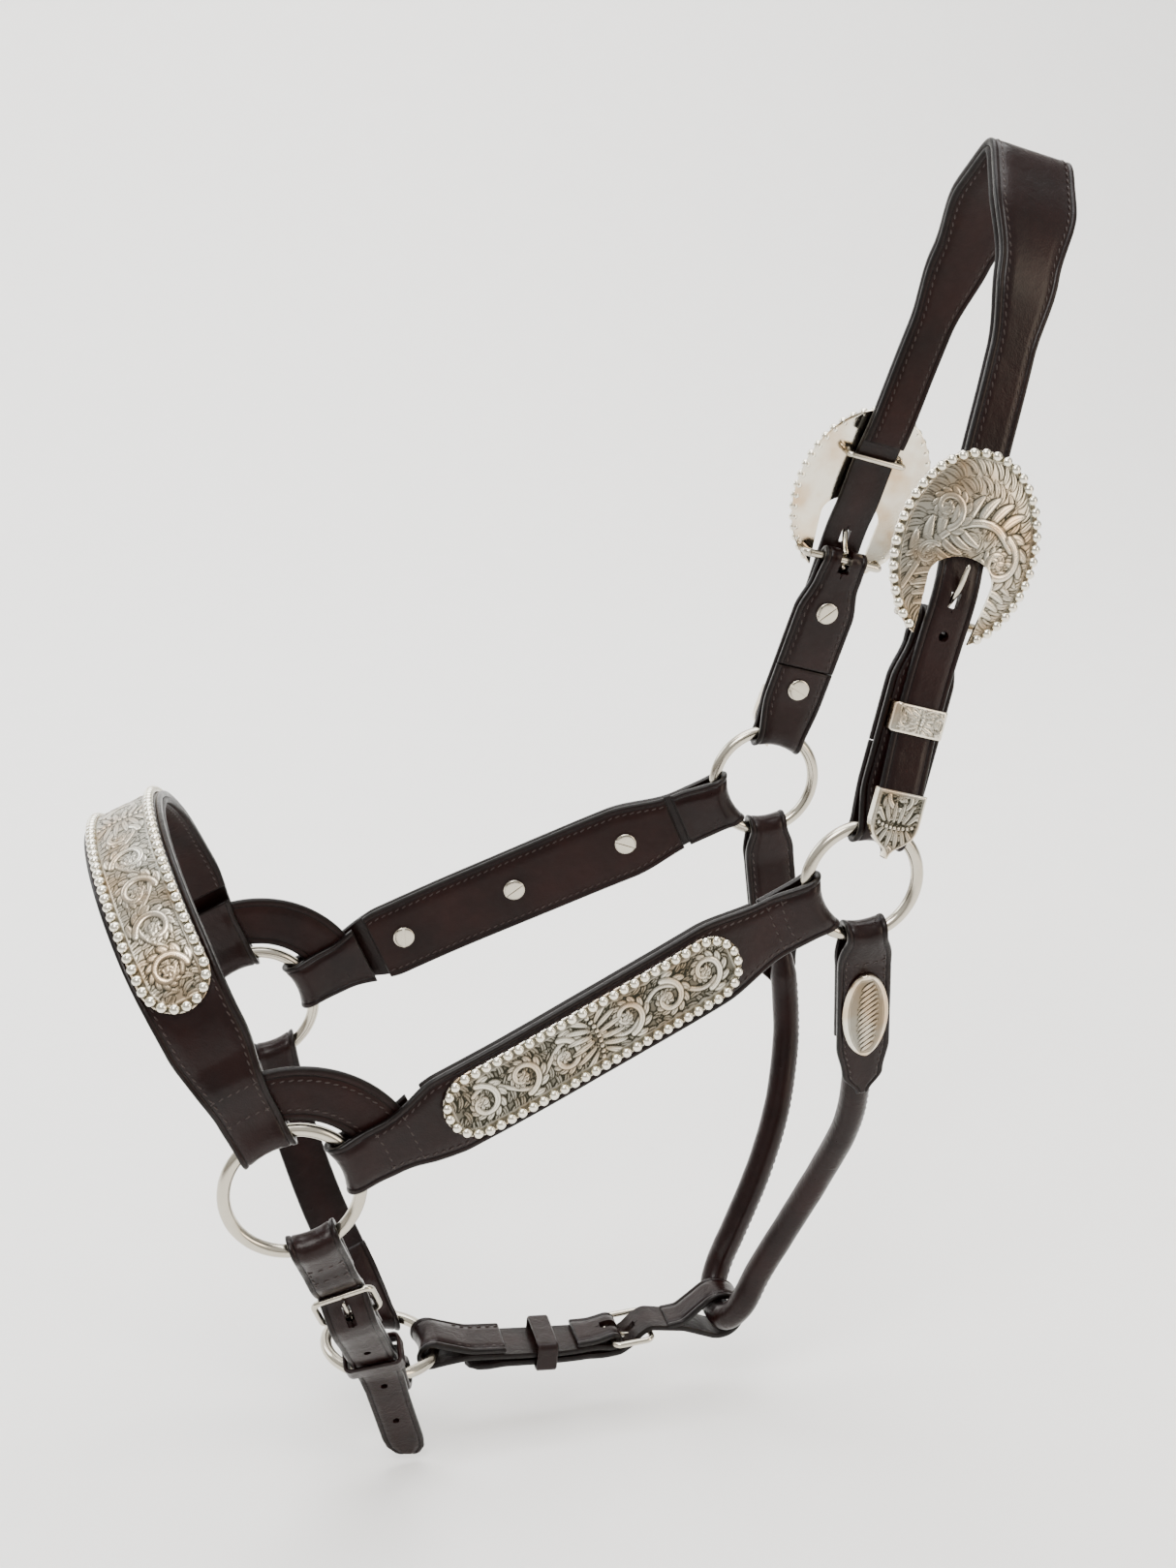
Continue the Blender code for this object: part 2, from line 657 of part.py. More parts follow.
def make_hanger(side, sign):
    route = hanger_route(sign)
    length = route.length
    low = fold(0.0, 1.0, WIRE_RADIUS, ((0.014, HANGER_LAYER),), 0.030)
    high = fold(length, -1.0, HEEL_BAR_RADIUS, ((0.012, HANGER_LAYER),), 0.048, 0.0005)
    hugs = ((0.0, cheek_ring_centre(sign), CHEEK_RING_RADIUS),)
    hanger = strap("crown_hanger_" + side, route, low + high[::-1], HANGER_WIDTHS, hugs=hugs)
    slot(hanger, route.place(length + 0.001), (0.0052, 0.016, 0.020))
    for index, at in enumerate(HANGER_SCREWS):
        name = "hanger_screw_%s_%d" % (side, index + 1)
        screw(name, route, at, -HANGER_FACE - GAP, HANGER_FACE + GAP + SCREW_HEAD_HEIGHT, (hanger,), True)
    for edge in (-1.0, 1.0):
        across = edge * (KEEPER_HALF + KEEPER_WALL / 2.0 - 0.0002)
        place = route.place(KEEPER_AT, HANGER_LAYER) @ Matrix.Translation((across, 0.0, 0.0))
        slot(hanger, place, (KEEPER_WALL + 0.0012, KEEPER_HEIGHT + 0.0008, STRAP_LEATHER + 0.0006))


def buckle_height(along_by, across_by=0.0):
    """How far the oval plate's middle surface stands out from the hanger's line."""
    u = (along_by - BUCKLE_MIDDLE) / BUCKLE_HALF_LENGTH
    v = across_by / BUCKLE_HALF_WIDTH
    return BUCKLE_BACK + BUCKLE_DOME * max(0.0, 1.0 - u * u - v * v)


def buckle_dome_mesh():
    """The domed oval sheet, in a frame whose Y runs up the hanger from the plate's middle."""
    count = 24
    rings = (0.34, 0.68, 1.0)
    work = bmesh.new()
    middle = work.verts.new((0.0, 0.0, BUCKLE_DOME))
    loops = []
    for size in rings:
        loop = []
        for x, y, _ in ellipse(BUCKLE_HALF_WIDTH * size, BUCKLE_HALF_LENGTH * size, count):
            loop.append(work.verts.new((x, y, BUCKLE_DOME * (1.0 - size * size))))
        loops.append(loop)
    for index in range(count):
        after = (index + 1) % count
        work.faces.new((middle, loops[0][index], loops[0][after]))
        for inner, outer in zip(loops, loops[1:]):
            work.faces.new((inner[index], outer[index], outer[after], inner[after]))
    mesh = bpy.data.meshes.new("dome")
    work.to_mesh(mesh)
    work.free()
    return mesh


def mouth_outline():
    """The plate's keyhole: round at its top, and narrowing to where it leaves the lower rim."""
    top = BUCKLE_MOUTH_TOP - BUCKLE_MIDDLE
    wide = BUCKLE_MOUTH_WIDE
    low = -BUCKLE_HALF_LENGTH - 0.004
    points = [(-BUCKLE_MOUTH_NARROW, low, 0.0), (BUCKLE_MOUTH_NARROW, low, 0.0)]
    for step in range(7):
        angle = step / 6.0 * math.pi
        points.append((wide * math.cos(angle), top - 0.009 + 0.009 * math.sin(angle), 0.0))
    return points


def bracket_mesh(name, half_width, depth, radius, foot):
    """A bar with both ends turned up to the plate, in the plane of local X and Z."""
    bend = 0.0015
    points = [
        (-half_width, 0.0, foot),
        (-half_width, 0.0, depth + bend),
        (-half_width + bend, 0.0, depth),
        (half_width - bend, 0.0, depth),
        (half_width, 0.0, depth + bend),
        (half_width, 0.0, foot),
    ]
    return curve_mesh(name, [points], radius=radius, sides=1)


def make_crown_buckle(side, sign):
    """The oval silver buckle: domed plate, heel bar across its mouth, and a bar behind its top."""
    dome = add_part("crown_buckle_" + side, buckle_dome_mesh(), "silver", side_place(sign, BUCKLE_MIDDLE, BUCKLE_BACK))
    solidify(dome, BUCKLE_SHEET)
    mouth = curve_mesh("mouth", [mouth_outline()], extrude=0.02, closed=True, flat=True)
    boolean(dome, add_cutter("mouth_" + side, mouth, side_place(sign, BUCKLE_MIDDLE, BUCKLE_BACK)))
    half = BUCKLE_MOUTH_WIDE + 0.0035
    foot = buckle_height(HEEL_BAR_AT, half)
    heel = bracket_mesh("heel", half, 0.0, HEEL_BAR_RADIUS, foot)
    boolean(dome, add_cutter("heel_" + side, heel, side_place(sign, HEEL_BAR_AT, 0.0)), "UNION")
    foot = buckle_height(BACK_BAR_AT, 0.0125)
    back = bracket_mesh("back", 0.0125, 0.0032, BAR_RADIUS, foot)
    boolean(dome, add_cutter("back_" + side, back, side_place(sign, BACK_BAR_AT, 0.0)), "UNION")


def hook_mesh(name, bar, radius, reach, lift, rise):
    """A buckle tongue: an open eye round its bar, then a shaft that rises to its tip."""
    eye = bar + radius + 0.0003
    points = []
    for step in range(8):
        angle = math.radians(-150.0 + step * 34.0)
        points.append((0.0, eye * math.sin(angle), eye * math.cos(angle)))
    points = points[::-1]
    start = Vector(points[0])
    shaft = [(0.0, reach * part, lift + rise * part) for part in (1.0, 0.55)]
    shaft += [(0.0, start.y + 0.003, max(start.z, lift * 0.8))]
    return curve_mesh(name, [shaft + points], radius=radius, sides=0)


def make_crown_tongue(side, sign):
    mesh = hook_mesh("crown_tongue", HEEL_BAR_RADIUS, 0.0012, 0.0225, 0.0060, 0.0080)
    add_part("crown_tongue_" + side, mesh, "nickel", side_place(sign, HEEL_BAR_AT, 0.0))


def billet_stations():
    """Where each billet lies, from its tip up to where it leaves the buckle: (up the hanger, out)."""
    over = HANGER_FACE + GAP + SCREW_HEAD_HEIGHT + GAP + BILLET_LEATHER / 2.0
    return (
        (-0.0020, 0.0094),
        (0.0060, 0.0094),
        (0.0140, 0.0092),
        (0.0250, 0.0080),
        (0.0370, over),
        (0.0500, over),
        (0.0620, over + 0.0002),
        (0.0740, 0.0076),
        (0.0870, 0.0087),
        (0.0960, 0.0084),
        (0.1060, 0.0068),
        (0.1245, 0.0064),
        (0.1420, 0.0036),
    )


def crown_route():
    """From the left billet's tip up through its buckle, over the poll, and down to the right tip."""
    half = []
    along, out = crown_axes(-1.0)
    start = crown_wire(-1.0)
    for along_by, out_by in billet_stations():
        half.append(start + along * along_by + out * out_by)
    up = Vector((math.sin(CROWN_LEAN), 0.0, math.cos(CROWN_LEAN)))
    centre = Vector((CHEEK_RING_AT[0], 0.0, CHEEK_RING_AT[1]))
    for rise, out_by in ((0.195, 0.0415), (0.225, 0.0345), (0.250, 0.0235), (0.2655, 0.0110)):
        half.append(centre + up * rise + Vector((0.0, -out_by, 0.0)))
    top = centre + up * CROWN_RISE
    mirrored = [Vector((point.x, -point.y, point.z)) for point in reversed(half)]
    return Route(half + [top] + mirrored, crown_across(), flip=False)


def billet_route_distance(route, along_by):
    """Distance along the crown's route of the point a given way up the left hanger."""
    along, _ = crown_axes(-1.0)
    start = crown_wire(-1.0)
    best = 0.0
    for point, reached in zip(route.line[:len(route.line) // 2], route.distances):
        if (point - start).dot(along) <= along_by:
            best = reached
    return best


def make_crown():
    route = crown_route()
    length = route.length
    widths = mirrored_widths(CROWN_WIDTHS, length)
    outline = filled_in(flat_middle(BILLET_END, length, 0.0), 0.0085)
    outer = strap("crown_strap", route, outline, widths, BILLET_LEATHER, 1)
    under = -(BILLET_LEATHER + LINING_LEATHER) / 2.0 - GAP
    past_buckle = billet_route_distance(route, BACK_BAR_AT) + 0.0080
    spans = flat_middle(past_buckle, length, under)
    strap("crown_lining", route, spans, widths, LINING_LEATHER, 1, (), "lining")
    hole_at = billet_route_distance(route, HEEL_BAR_AT + 0.0085)
    for at in (hole_at, length - hole_at):
        slot(outer, route.place(at), (0.0046, 0.0150, 0.0120))
    for at in (BILLET_HOLE_AT, length - BILLET_HOLE_AT):
        hole(outer, route.place(at), 0.0020)
    for side, at in (("left", BILLET_END), ("right", length - BILLET_END)):
        make_tip(side, route, at, -1.0 if side == "right" else 1.0)
    for side, sign in SIDES:
        make_silver_keeper(side, sign)


def tip_outline():
    """A square-shouldered strap tip that narrows in two curves to a point, along -Y."""
    half = 0.0100
    right = [(half, 0.0110, 0.0), (half, -0.0020, 0.0), (0.0088, -0.0060, 0.0), (0.0055, -0.0090, 0.0)]
    right += [(0.0022, -0.0115, 0.0)]
    left = [(-x, y, z) for x, y, z in reversed(right)]
    return right + [(0.0, -0.0150, 0.0)] + left


def make_tip(side, route, at, facing):
    """A silver cap over the billet's end, with a pocket that the leather ends in."""
    thick = BILLET_LEATHER + 0.0026
    mesh = curve_mesh("tip", [tip_outline()], extrude=thick / 2.0, closed=True, flat=True)
    place = route.place(at)
    if facing < 0.0:
        place = place @ Matrix.Rotation(math.pi, 4, "Z")
    item = add_part("crown_tip_" + side, mesh, "silver", place)
    pocket = (BILLET_WIDTH + 0.0008, 0.0160, BILLET_LEATHER + 0.0010)
    slot(item, place @ Matrix.Translation((0.0, 0.0070, 0.0)), pocket)


def band_mesh(name, half_x, half_z, wall, height, corner=0.0012):
    """A closed band round a strap: two outlines in local X and Z, with its height along Y."""
    outer = rounded_outline(half_x + wall, half_z + wall, corner + wall, 2)
    inner = rounded_outline(half_x, half_z, corner, 2)[::-1]
    mesh = curve_mesh(name, [outer, inner], extrude=height / 2.0, closed=True, flat=True)
    mesh.transform(Matrix.Rotation(math.pi / 2.0, 4, "X"))
    return mesh


def make_silver_keeper(side, sign):
    """The silver loop round the billet, whose back wall lies between the hanger's two layers."""
    low = -HANGER_GAP / 2.0 + GAP + KEEPER_WALL
    high = HANGER_FACE + GAP + SCREW_HEAD_HEIGHT + GAP + BILLET_LEATHER + 0.0008
    mesh = band_mesh("keeper", KEEPER_HALF, (high - low) / 2.0, KEEPER_WALL, KEEPER_HEIGHT)
    place = side_place(sign, KEEPER_AT, (high + low) / 2.0)
    add_part("crown_keeper_" + side, mesh, "silver", place)


# ======================================================================== chin straps

def chin_wire(angle):
    """A point of the chin ring's wire: angle 0 is at its rear, and 90 degrees at the horse's right."""
    x, z = CHIN_RING_AT
    flat = Vector((CHIN_RING_RADIUS * math.cos(angle), CHIN_RING_RADIUS * math.sin(angle), 0.0))
    return Vector((x, 0.0, z)) + Matrix.Rotation(CHIN_RING_TILT, 3, "Y") @ flat


def chin_axis():
    return Matrix.Rotation(CHIN_RING_TILT, 3, "Y") @ Vector((1.0, 0.0, 0.0))


def chin_ends(sign):
    """The nose ring's wire point and the chin ring's wire point that one chin strap joins."""
    low = chin_wire(sign * math.pi / 2.0)
    centre = Vector((NOSE_RING_AT[0], sign * NOSE_RING_OUT, NOSE_RING_AT[1]))
    toward = Vector((low.x - centre.x, 0.0, low.z - centre.z)).normalized()
    return centre + toward * NOSE_RING_RADIUS, low, toward


def chin_route(sign):
    """From the chin ring's wire up to the nose ring's wire on one side."""
    high, low, toward = chin_ends(sign)
    across = Vector((-toward.z, 0.0, toward.x))
    if across.x < 0.0:
        across = -across
    outward, forward = CHIN_BOW["left" if sign < 0.0 else "right"]
    bow = Vector((-forward, sign * outward, 0.0))
    points = [
        low,
        low.lerp(high, 0.14) + bow * 0.22,
        low.lerp(high, 0.40) + bow,
        low.lerp(high, 0.70) + bow,
        low.lerp(high, 0.88) + bow * 0.50,
        high,
    ]
    return Route(points, chin_axis(), across, flip=sign > 0.0)


def make_right_chin_strap():
    route = chin_route(1.0)
    length = route.length
    low = fold(0.0, 1.0, WIRE_RADIUS, PLAIN, 0.030, CHIN_RING_CLEARANCE)
    high = fold(length, -1.0, WIRE_RADIUS, PLAIN, 0.030)
    hugs = ((0.0, chin_ring_centre(), CHIN_RING_RADIUS), (length, nose_ring_centre(1.0), NOSE_RING_RADIUS))
    widths = ((0.0, CHIN_WIDTH), (length, CHIN_WIDTH))
    strap("chin_strap_right", route, low + high[::-1], widths, hugs=hugs)


def frame_mesh(name):
    """A small rectangular wire buckle frame with round corners."""
    outline = rounded_outline(*FRAME_HALF, 0.0030, 2)
    return curve_mesh(name, [outline], radius=FRAME_WIRE, closed=True, sides=0)


def billet_through_frame(heel):
    """The part of a billet's outline that passes out over the heel fold and in behind the end bar."""
    fold_reach = FRAME_WIRE + 0.0005 + STRAP_LEATHER
    over_fold = fold_reach + GAP + STRAP_LEATHER / 2.0
    behind_bar = -(FRAME_WIRE + STRAP_LEATHER / 2.0 + 0.0005)
    return [
        (heel - 0.004, over_fold + 0.0002),
        (heel + 0.003, over_fold),
        (heel + 0.008, 0.0032),
        (heel + 0.0125, -0.0010),
        (heel + FRAME_HALF[1] * 2.0, behind_bar),
    ]


def make_left_chin_strap():
    """Chape with buckle from the chin ring, and a billet from the nose ring that it takes."""
    route = chin_route(-1.0)
    length = route.length
    heel = CHIN_FRAME_AT
    low = fold(0.0, 1.0, WIRE_RADIUS, PLAIN, 0.026, CHIN_RING_CLEARANCE)
    high = fold(heel, -1.0, FRAME_WIRE, ((0.008, LAYER),), 0.014, 0.0005)
    widths = ((0.0, CHIN_WIDTH), (heel, CHIN_WIDTH - 0.001))
    hugs = ((0.0, chin_ring_centre(), CHIN_RING_RADIUS),)
    chape = strap("chin_chape_left", route, low + high[::-1], widths, hugs=hugs)
    slot(chape, route.place(heel), (0.0046, 0.0120, 0.0200))
    frame_at = route.place(heel + FRAME_HALF[1], 0.0)
    add_part("chin_buckle_left", frame_mesh("frame"), "nickel", frame_at)
    tongue = hook_mesh("tongue", FRAME_WIRE, 0.0009, 0.0172, 0.0030, 0.0002)
    add_part("chin_tongue_left", tongue, "nickel", route.place(heel))

    end = fold(length, -1.0, WIRE_RADIUS, PLAIN, 0.020)
    over = OUTER_FACE + 0.0010 + STRAP_LEATHER / 2.0
    outline = [(-CHIN_TAIL, 0.0205), (-0.0220, 0.0160), (-0.0100, 0.0124), (0.0020, 0.0090)]
    outline += [(0.0150, over + 0.0006), (0.0260, over), (heel - 0.012, over)]
    outline += billet_through_frame(heel)
    outline += [(heel + FRAME_HALF[1] * 2.0 + 0.006, -0.0006), (heel + FRAME_HALF[1] * 2.0 + 0.0125, LAYER)]
    widths = tongue_tip(-CHIN_TAIL, CHIN_WIDTH - 0.0012) + ((length, CHIN_WIDTH),)
    hugs = ((length, nose_ring_centre(-1.0), NOSE_RING_RADIUS),)
    billet = strap("chin_billet_left", route, outline + end[::-1], widths, hugs=hugs)
    slot(billet, route.place(heel + FRAME_HALF[1] * 0.9), (0.0036, 0.0110, 0.0140))
    make_leather_keeper("chin_keeper_left", route, CHIN_KEEPER_AT, over, CHIN_WIDTH)


def tongue_tip(at, width):
    """Widths of a strap's rounded end, which starts at this distance."""
    return ((at, width * 0.40), (at + 0.0020, width * 0.70), (at + 0.0055, width * 0.93), (at + 0.0100, width))


def make_leather_keeper(name, route, at, over, width):
    """A leather loop that holds a billet's tail against its chape and slides along both."""
    low = -OUTER_FACE - 0.0006
    high = over + STRAP_LEATHER / 2.0 + 0.0006
    mesh = band_mesh(name, width / 2.0 + 0.0009, (high - low) / 2.0, 0.0016, 0.0090)
    add_part(name, mesh, "leather", route.place(at, (high + low) / 2.0))


# ======================================================================== gullet strap

def gullet_loop():
    """Middle of the loop that rides on the rolled throat strap."""
    return throat_points(1.0)[-1]


def gullet_route():
    """From the chin ring's rear wire back to the loop round the throat strap, sagging a little."""
    start = chin_wire(0.0)
    end = gullet_loop()
    sag = Vector((0.0, 0.0, -1.0))
    points = [
        start,
        start.lerp(end, 0.22) + sag * 0.0030,
        start.lerp(end, 0.50) + sag * 0.0055,
        start.lerp(end, 0.78) + sag * 0.0035,
        end,
    ]
    return Route(points, (0.0, 1.0, 0.0), flip=False)


def make_gullet():
    """Chape and buckle from the chin ring, and a billet looped round the throat strap."""
    route = gullet_route()
    length = route.length
    heel = GULLET_FRAME_AT
    low = fold(0.0, 1.0, WIRE_RADIUS, ((0.015, LAYER),), 0.030, 0.0016)
    high = fold(heel, -1.0, FRAME_WIRE, ((0.008, LAYER),), 0.016, 0.0005)
    hugs = ((0.0, chin_ring_centre(), CHIN_RING_RADIUS),)
    widths = ((0.0, GULLET_WIDTH), (0.050, GULLET_WIDTH), (heel, CHIN_WIDTH - 0.001))
    chape = strap("gullet_chape", route, low + high[::-1], widths, hugs=hugs)
    slot(chape, route.place(heel), (0.0046, 0.0120, 0.0200))
    add_part("gullet_buckle", frame_mesh("frame"), "nickel", route.place(heel + FRAME_HALF[1], 0.0))
    tongue = hook_mesh("tongue", FRAME_WIRE, 0.0009, 0.0172, 0.0030, 0.0002)
    add_part("gullet_tongue", tongue, "nickel", route.place(heel))

    end = fold(length, -1.0, ROLL_RADIUS, ((0.017, LAYER),), 0.024, ROLL_CLEARANCE)
    over = OUTER_FACE + 0.0010 + STRAP_LEATHER / 2.0
    outline = [(0.0140, over + 0.0030), (0.0300, over + 0.0006), (heel - 0.012, over)]
    outline += billet_through_frame(heel)
    outline += [(heel + FRAME_HALF[1] * 2.0 + 0.006, -0.0014)]
    widths = tongue_tip(0.0140, GULLET_WIDTH - 0.0012)
    widths += ((0.060, GULLET_WIDTH - 0.0012), (heel, CHIN_WIDTH - 0.0012), (length, 0.0145))
    billet = strap("gullet_billet", route, outline + end[::-1], widths, columns=1)
    slot(billet, route.place(heel + FRAME_HALF[1] * 0.9), (0.0036, 0.0110, 0.0140))
    make_leather_keeper("gullet_keeper", route, GULLET_KEEPER_AT, over, GULLET_WIDTH)


# ======================================================================== throat latch

def throat_points(sign):
    """The rolled strap from under one cheek ring to the middle of the throat."""
    stations = (
        (0.2780, 0.0476, -0.0930),
        (0.2796, 0.0446, -0.1160),
        (0.2786, 0.0388, -0.1380),
        (0.2722, 0.0292, -0.1640),
        (0.2622, 0.0222, -0.1900),
        (0.2500, 0.0180, -0.2160),
        (0.2430, 0.0170, -0.2320),
        (0.2382, 0.0105, -0.2418),
        (0.2368, 0.0000, -0.2440),
    )
    return [Vector((x, sign * y, z)) for x, y, z in stations]


def make_throat_roll():
    left = throat_points(-1.0)
    right = throat_points(1.0)[:-1][::-1]
    line = smooth_line(left + right, 4)
    mesh = curve_mesh("throat_roll", [line], radius=ROLL_RADIUS, sides=2)
    add_part("throat_roll", mesh, "leather")


def tab_route(sign):
    """From the cheek ring's wire down the flat tab that ends the rolled throat strap."""
    x, z = CHEEK_RING_AT
    level = Vector((math.sin(TAB_SWING), 0.0, -math.cos(TAB_SWING)))
    start = Vector((x, sign * CHEEK_RING_OUT, z)) + level * CHEEK_RING_RADIUS
    down = level * math.cos(TAB_LEAN) - Vector((0.0, sign, 0.0)) * math.sin(TAB_LEAN)
    points = [start + down * (TAB_LENGTH + 0.004) * step / 4.0 for step in range(5)]
    across = Vector((-down.z, 0.0, down.x))
    return Route(points, across, flip=sign < 0.0)


def make_throat_tab(side, sign):
    """The flat end of the throat latch: a strap round the cheek ring with a pointed outer layer."""
    route = tab_route(sign)
    top = fold(0.0, 1.0, WIRE_RADIUS, PLAIN, 0.046)
    outline = top + [(TAB_LENGTH, LAYER)]
    widths = ((0.0, 0.0165), (0.012, TAB_WIDTH), (0.050, TAB_WIDTH), (0.064, 0.0170), (TAB_LENGTH, 0.0050))
    hugs = ((0.0, cheek_ring_centre(sign), CHEEK_RING_RADIUS),)
    strap("throat_tab_" + side, route, outline, widths, hugs=hugs)
    mesh = bpy.data.meshes.new("oval")
    work = bmesh.new()
    points = [work.verts.new(point) for point in ellipse(OVAL_SIZE[0] / 2.0, OVAL_SIZE[1] / 2.0, 20)]
    middle = work.verts.new((0.0, 0.0, 0.0012))
    for start, end in zip(points, points[1:] + points[:1]):
        work.faces.new((middle, start, end))
    work.to_mesh(mesh)
    work.free()
    height = OUTER_FACE + GAP + PLATE_THICKNESS / 2.0
    oval = add_part("throat_oval_" + side, mesh, "silver", route.place(OVAL_AT, height))
    solidify(oval, PLATE_THICKNESS)


# ======================================================================== bodies that move

def pivot(name, point, parent=None):
    """An empty on a joint's axis, which the pieces of one moving body hang from."""
    empty = bpy.data.objects.new(name, None)
    empty.location = point
    empty.empty_display_size = 0.01
    parts.objects.link(empty)
    bpy.context.view_layer.update()
    if parent:
        hang(empty, parent)
    return empty


def hang(item, parent):
    bpy.context.view_layer.update()
    item.parent = parent
    item.matrix_parent_inverse = parent.matrix_world.inverted()


def hang_all(parent, prefixes):
    for item in list(parts.objects):
        if item.type == "MESH" and item.parent is None and item.name.startswith(prefixes):
            hang(item, parent)


def make_bodies():
    face = pivot("halter", Vector((0.0, 0.0, 0.0)))
    cheek_axis = Vector((CHEEK_RING_AT[0], 0.0, CHEEK_RING_AT[1]))
    nose_axis = Vector((NOSE_RING_AT[0], 0.0, NOSE_RING_AT[1]))
    crown = pivot("crown_pivot", cheek_axis, face)
    throat = pivot("throat_pivot", cheek_axis, face)
    chin = pivot("chin_pivot", nose_axis, face)
    gullet = pivot("gullet_pivot", chin_wire(0.0), chin)
    hang_all(crown, ("crown", "hanger"))
    hang_all(throat, ("throat",))
    hang_all(chin, ("chin",))
    hang_all(gullet, ("gullet",))
    hang_all(face, ("nose", "cheek", "ring_guard"))


def main():
    clear_scene()
    make_rings()
    make_noseband()
    for side, sign in SIDES:
        guard(side, sign)
        make_cheekpiece(side, sign)
        make_hanger(side, sign)
        make_crown_buckle(side, sign)
        make_crown_tongue(side, sign)
        make_throat_tab(side, sign)
    make_crown()
    make_right_chin_strap()
    make_left_chin_strap()
    make_gullet()
    make_throat_roll()
    make_bodies()


main()
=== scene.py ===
"""Looks for a western silver show halter: oiled bridle leather, engraved silver and nickel hardware.

It builds every strap, plate, ring and screw in detail around the fixed frame, and sets up a small studio.
Units are metres. The horse looks along -X, its left side is at -Y, and +Z is up.
"""

import math

import bmesh
import bpy
import numpy as np
from bpy.props import FloatProperty, FloatVectorProperty, PointerProperty
from mathutils import Matrix, Vector


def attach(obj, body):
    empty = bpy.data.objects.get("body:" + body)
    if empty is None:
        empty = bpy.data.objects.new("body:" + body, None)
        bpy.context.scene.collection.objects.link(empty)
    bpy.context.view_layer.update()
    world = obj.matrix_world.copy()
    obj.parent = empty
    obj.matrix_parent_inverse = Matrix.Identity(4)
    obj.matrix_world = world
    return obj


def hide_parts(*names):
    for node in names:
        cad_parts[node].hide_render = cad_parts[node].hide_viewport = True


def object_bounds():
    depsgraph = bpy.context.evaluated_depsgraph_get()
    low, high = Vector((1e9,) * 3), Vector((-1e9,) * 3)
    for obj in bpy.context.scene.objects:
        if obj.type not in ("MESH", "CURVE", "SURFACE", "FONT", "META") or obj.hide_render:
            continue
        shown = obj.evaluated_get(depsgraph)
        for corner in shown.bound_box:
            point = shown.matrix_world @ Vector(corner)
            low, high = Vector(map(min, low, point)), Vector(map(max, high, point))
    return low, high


bl_info = {
    "name": "Silver Show Halter",
    "version": (1, 0, 0),
    "blender": (4, 5, 0),
    "location": "View3D > Sidebar > Halter",
    "description": "Builds a leather show halter with engraved silver trim",
    "category": "Add Mesh",
}

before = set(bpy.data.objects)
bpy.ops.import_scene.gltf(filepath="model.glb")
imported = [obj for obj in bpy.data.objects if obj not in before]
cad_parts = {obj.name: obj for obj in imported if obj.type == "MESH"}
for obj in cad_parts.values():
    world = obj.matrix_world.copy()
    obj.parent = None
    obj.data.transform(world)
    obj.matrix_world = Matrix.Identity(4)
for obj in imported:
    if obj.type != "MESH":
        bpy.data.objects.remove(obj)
CAD_BOX = [list(corner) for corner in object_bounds()]

SIDES = (("left", -1.0), ("right", 1.0))

# ---- Where the frame's parts are: the same sizes that the CAD parts in model.glb have ----
NOSE_RING_AT = np.array((0.0485, 0.0, -0.1130))
NOSE_RING_OUT = 0.0810
NOSE_RING_RADIUS = 0.0250
CHEEK_RING_AT = np.array((0.2720, 0.0, -0.0200))
CHEEK_RING_OUT = 0.0605
CHEEK_RING_RADIUS = 0.0225
CHIN_RING_AT = np.array((0.0875, 0.0, -0.2390))
CHIN_RING_RADIUS = 0.0230
CHIN_RING_TILT = math.radians(8.0)
WIRE_RADIUS = 0.0025
RING_CLEARANCE = 0.0009
CHIN_RING_CLEARANCE = 0.0018

STRAP_LEATHER = 0.0026
LINING_LEATHER = 0.0024
GUARD_LEATHER = 0.0030
BILLET_LEATHER = 0.0030
GAP = 0.0003
SKEW_NEAR = 0.0050
SKEW_FAR = 0.0200

NOSEBAND_LEAN = math.atan2(NOSE_RING_AT[0], -NOSE_RING_AT[2])
NOSEBAND_ROUNDNESS = 2.05
NOSEBAND_STRAIGHT = 0.0280
NOSEBAND_WIDTHS = ((0.0, 0.021), (0.014, 0.022), (0.045, 0.030), (0.080, 0.032))
NOSE_PLATE_START = 0.0560
NOSE_SCREW_AT = 0.0720

CHEEK_WIDTHS = (
    (0.0, 0.021), (0.014, 0.022), (0.040, 0.033), (0.150, 0.034), (0.180, 0.025), (0.194, 0.023))
CHEEK_PLATE_MIDDLE = 0.0990
CHEEK_PLATE_LENGTH = 0.1260
CHEEK_SCREW_SPACING = 0.0530
PLATE_WIDTH = 0.0270
PLATE_THICKNESS = 0.0012

GUARD_INNER = 0.0292
GUARD_OUTER = 0.0500
GUARD_FROM = math.radians(13.0)
GUARD_TO = math.radians(122.0)

CROWN_LEAN = math.radians(16.3)
CROWN_RISE = 0.2745
SIDE_LEAN = math.radians(7.0)
HEEL_BAR_AT = 0.0810
BUCKLE_MIDDLE = 0.1085
BUCKLE_HALF_LENGTH = 0.0370
BUCKLE_HALF_WIDTH = 0.0290
BUCKLE_DOME = 0.0045
BUCKLE_BACK = 0.0065
BUCKLE_SHEET = 0.0015
BUCKLE_MOUTH_TOP = 0.1060
BUCKLE_MOUTH_WIDE = 0.0134
BUCKLE_MOUTH_NARROW = 0.0108
BACK_BAR_AT = 0.1245
BAR_RADIUS = 0.0013
HEEL_BAR_RADIUS = 0.0017
HANGER_WIDTHS = ((0.0, 0.021), (0.018, 0.026), (0.056, 0.026), (0.072, 0.020), (0.081, 0.019))
HANGER_SCREWS = (0.0220, 0.0580)
HANGER_GAP = 0.0016
BILLET_WIDTH = 0.0180
CROWN_WIDTHS = ((0.0, BILLET_WIDTH), (0.185, BILLET_WIDTH), (0.215, 0.0250), (0.245, 0.0350))
BILLET_END = 0.0070
BILLET_HOLE_AT = 0.0780
KEEPER_AT = 0.0430
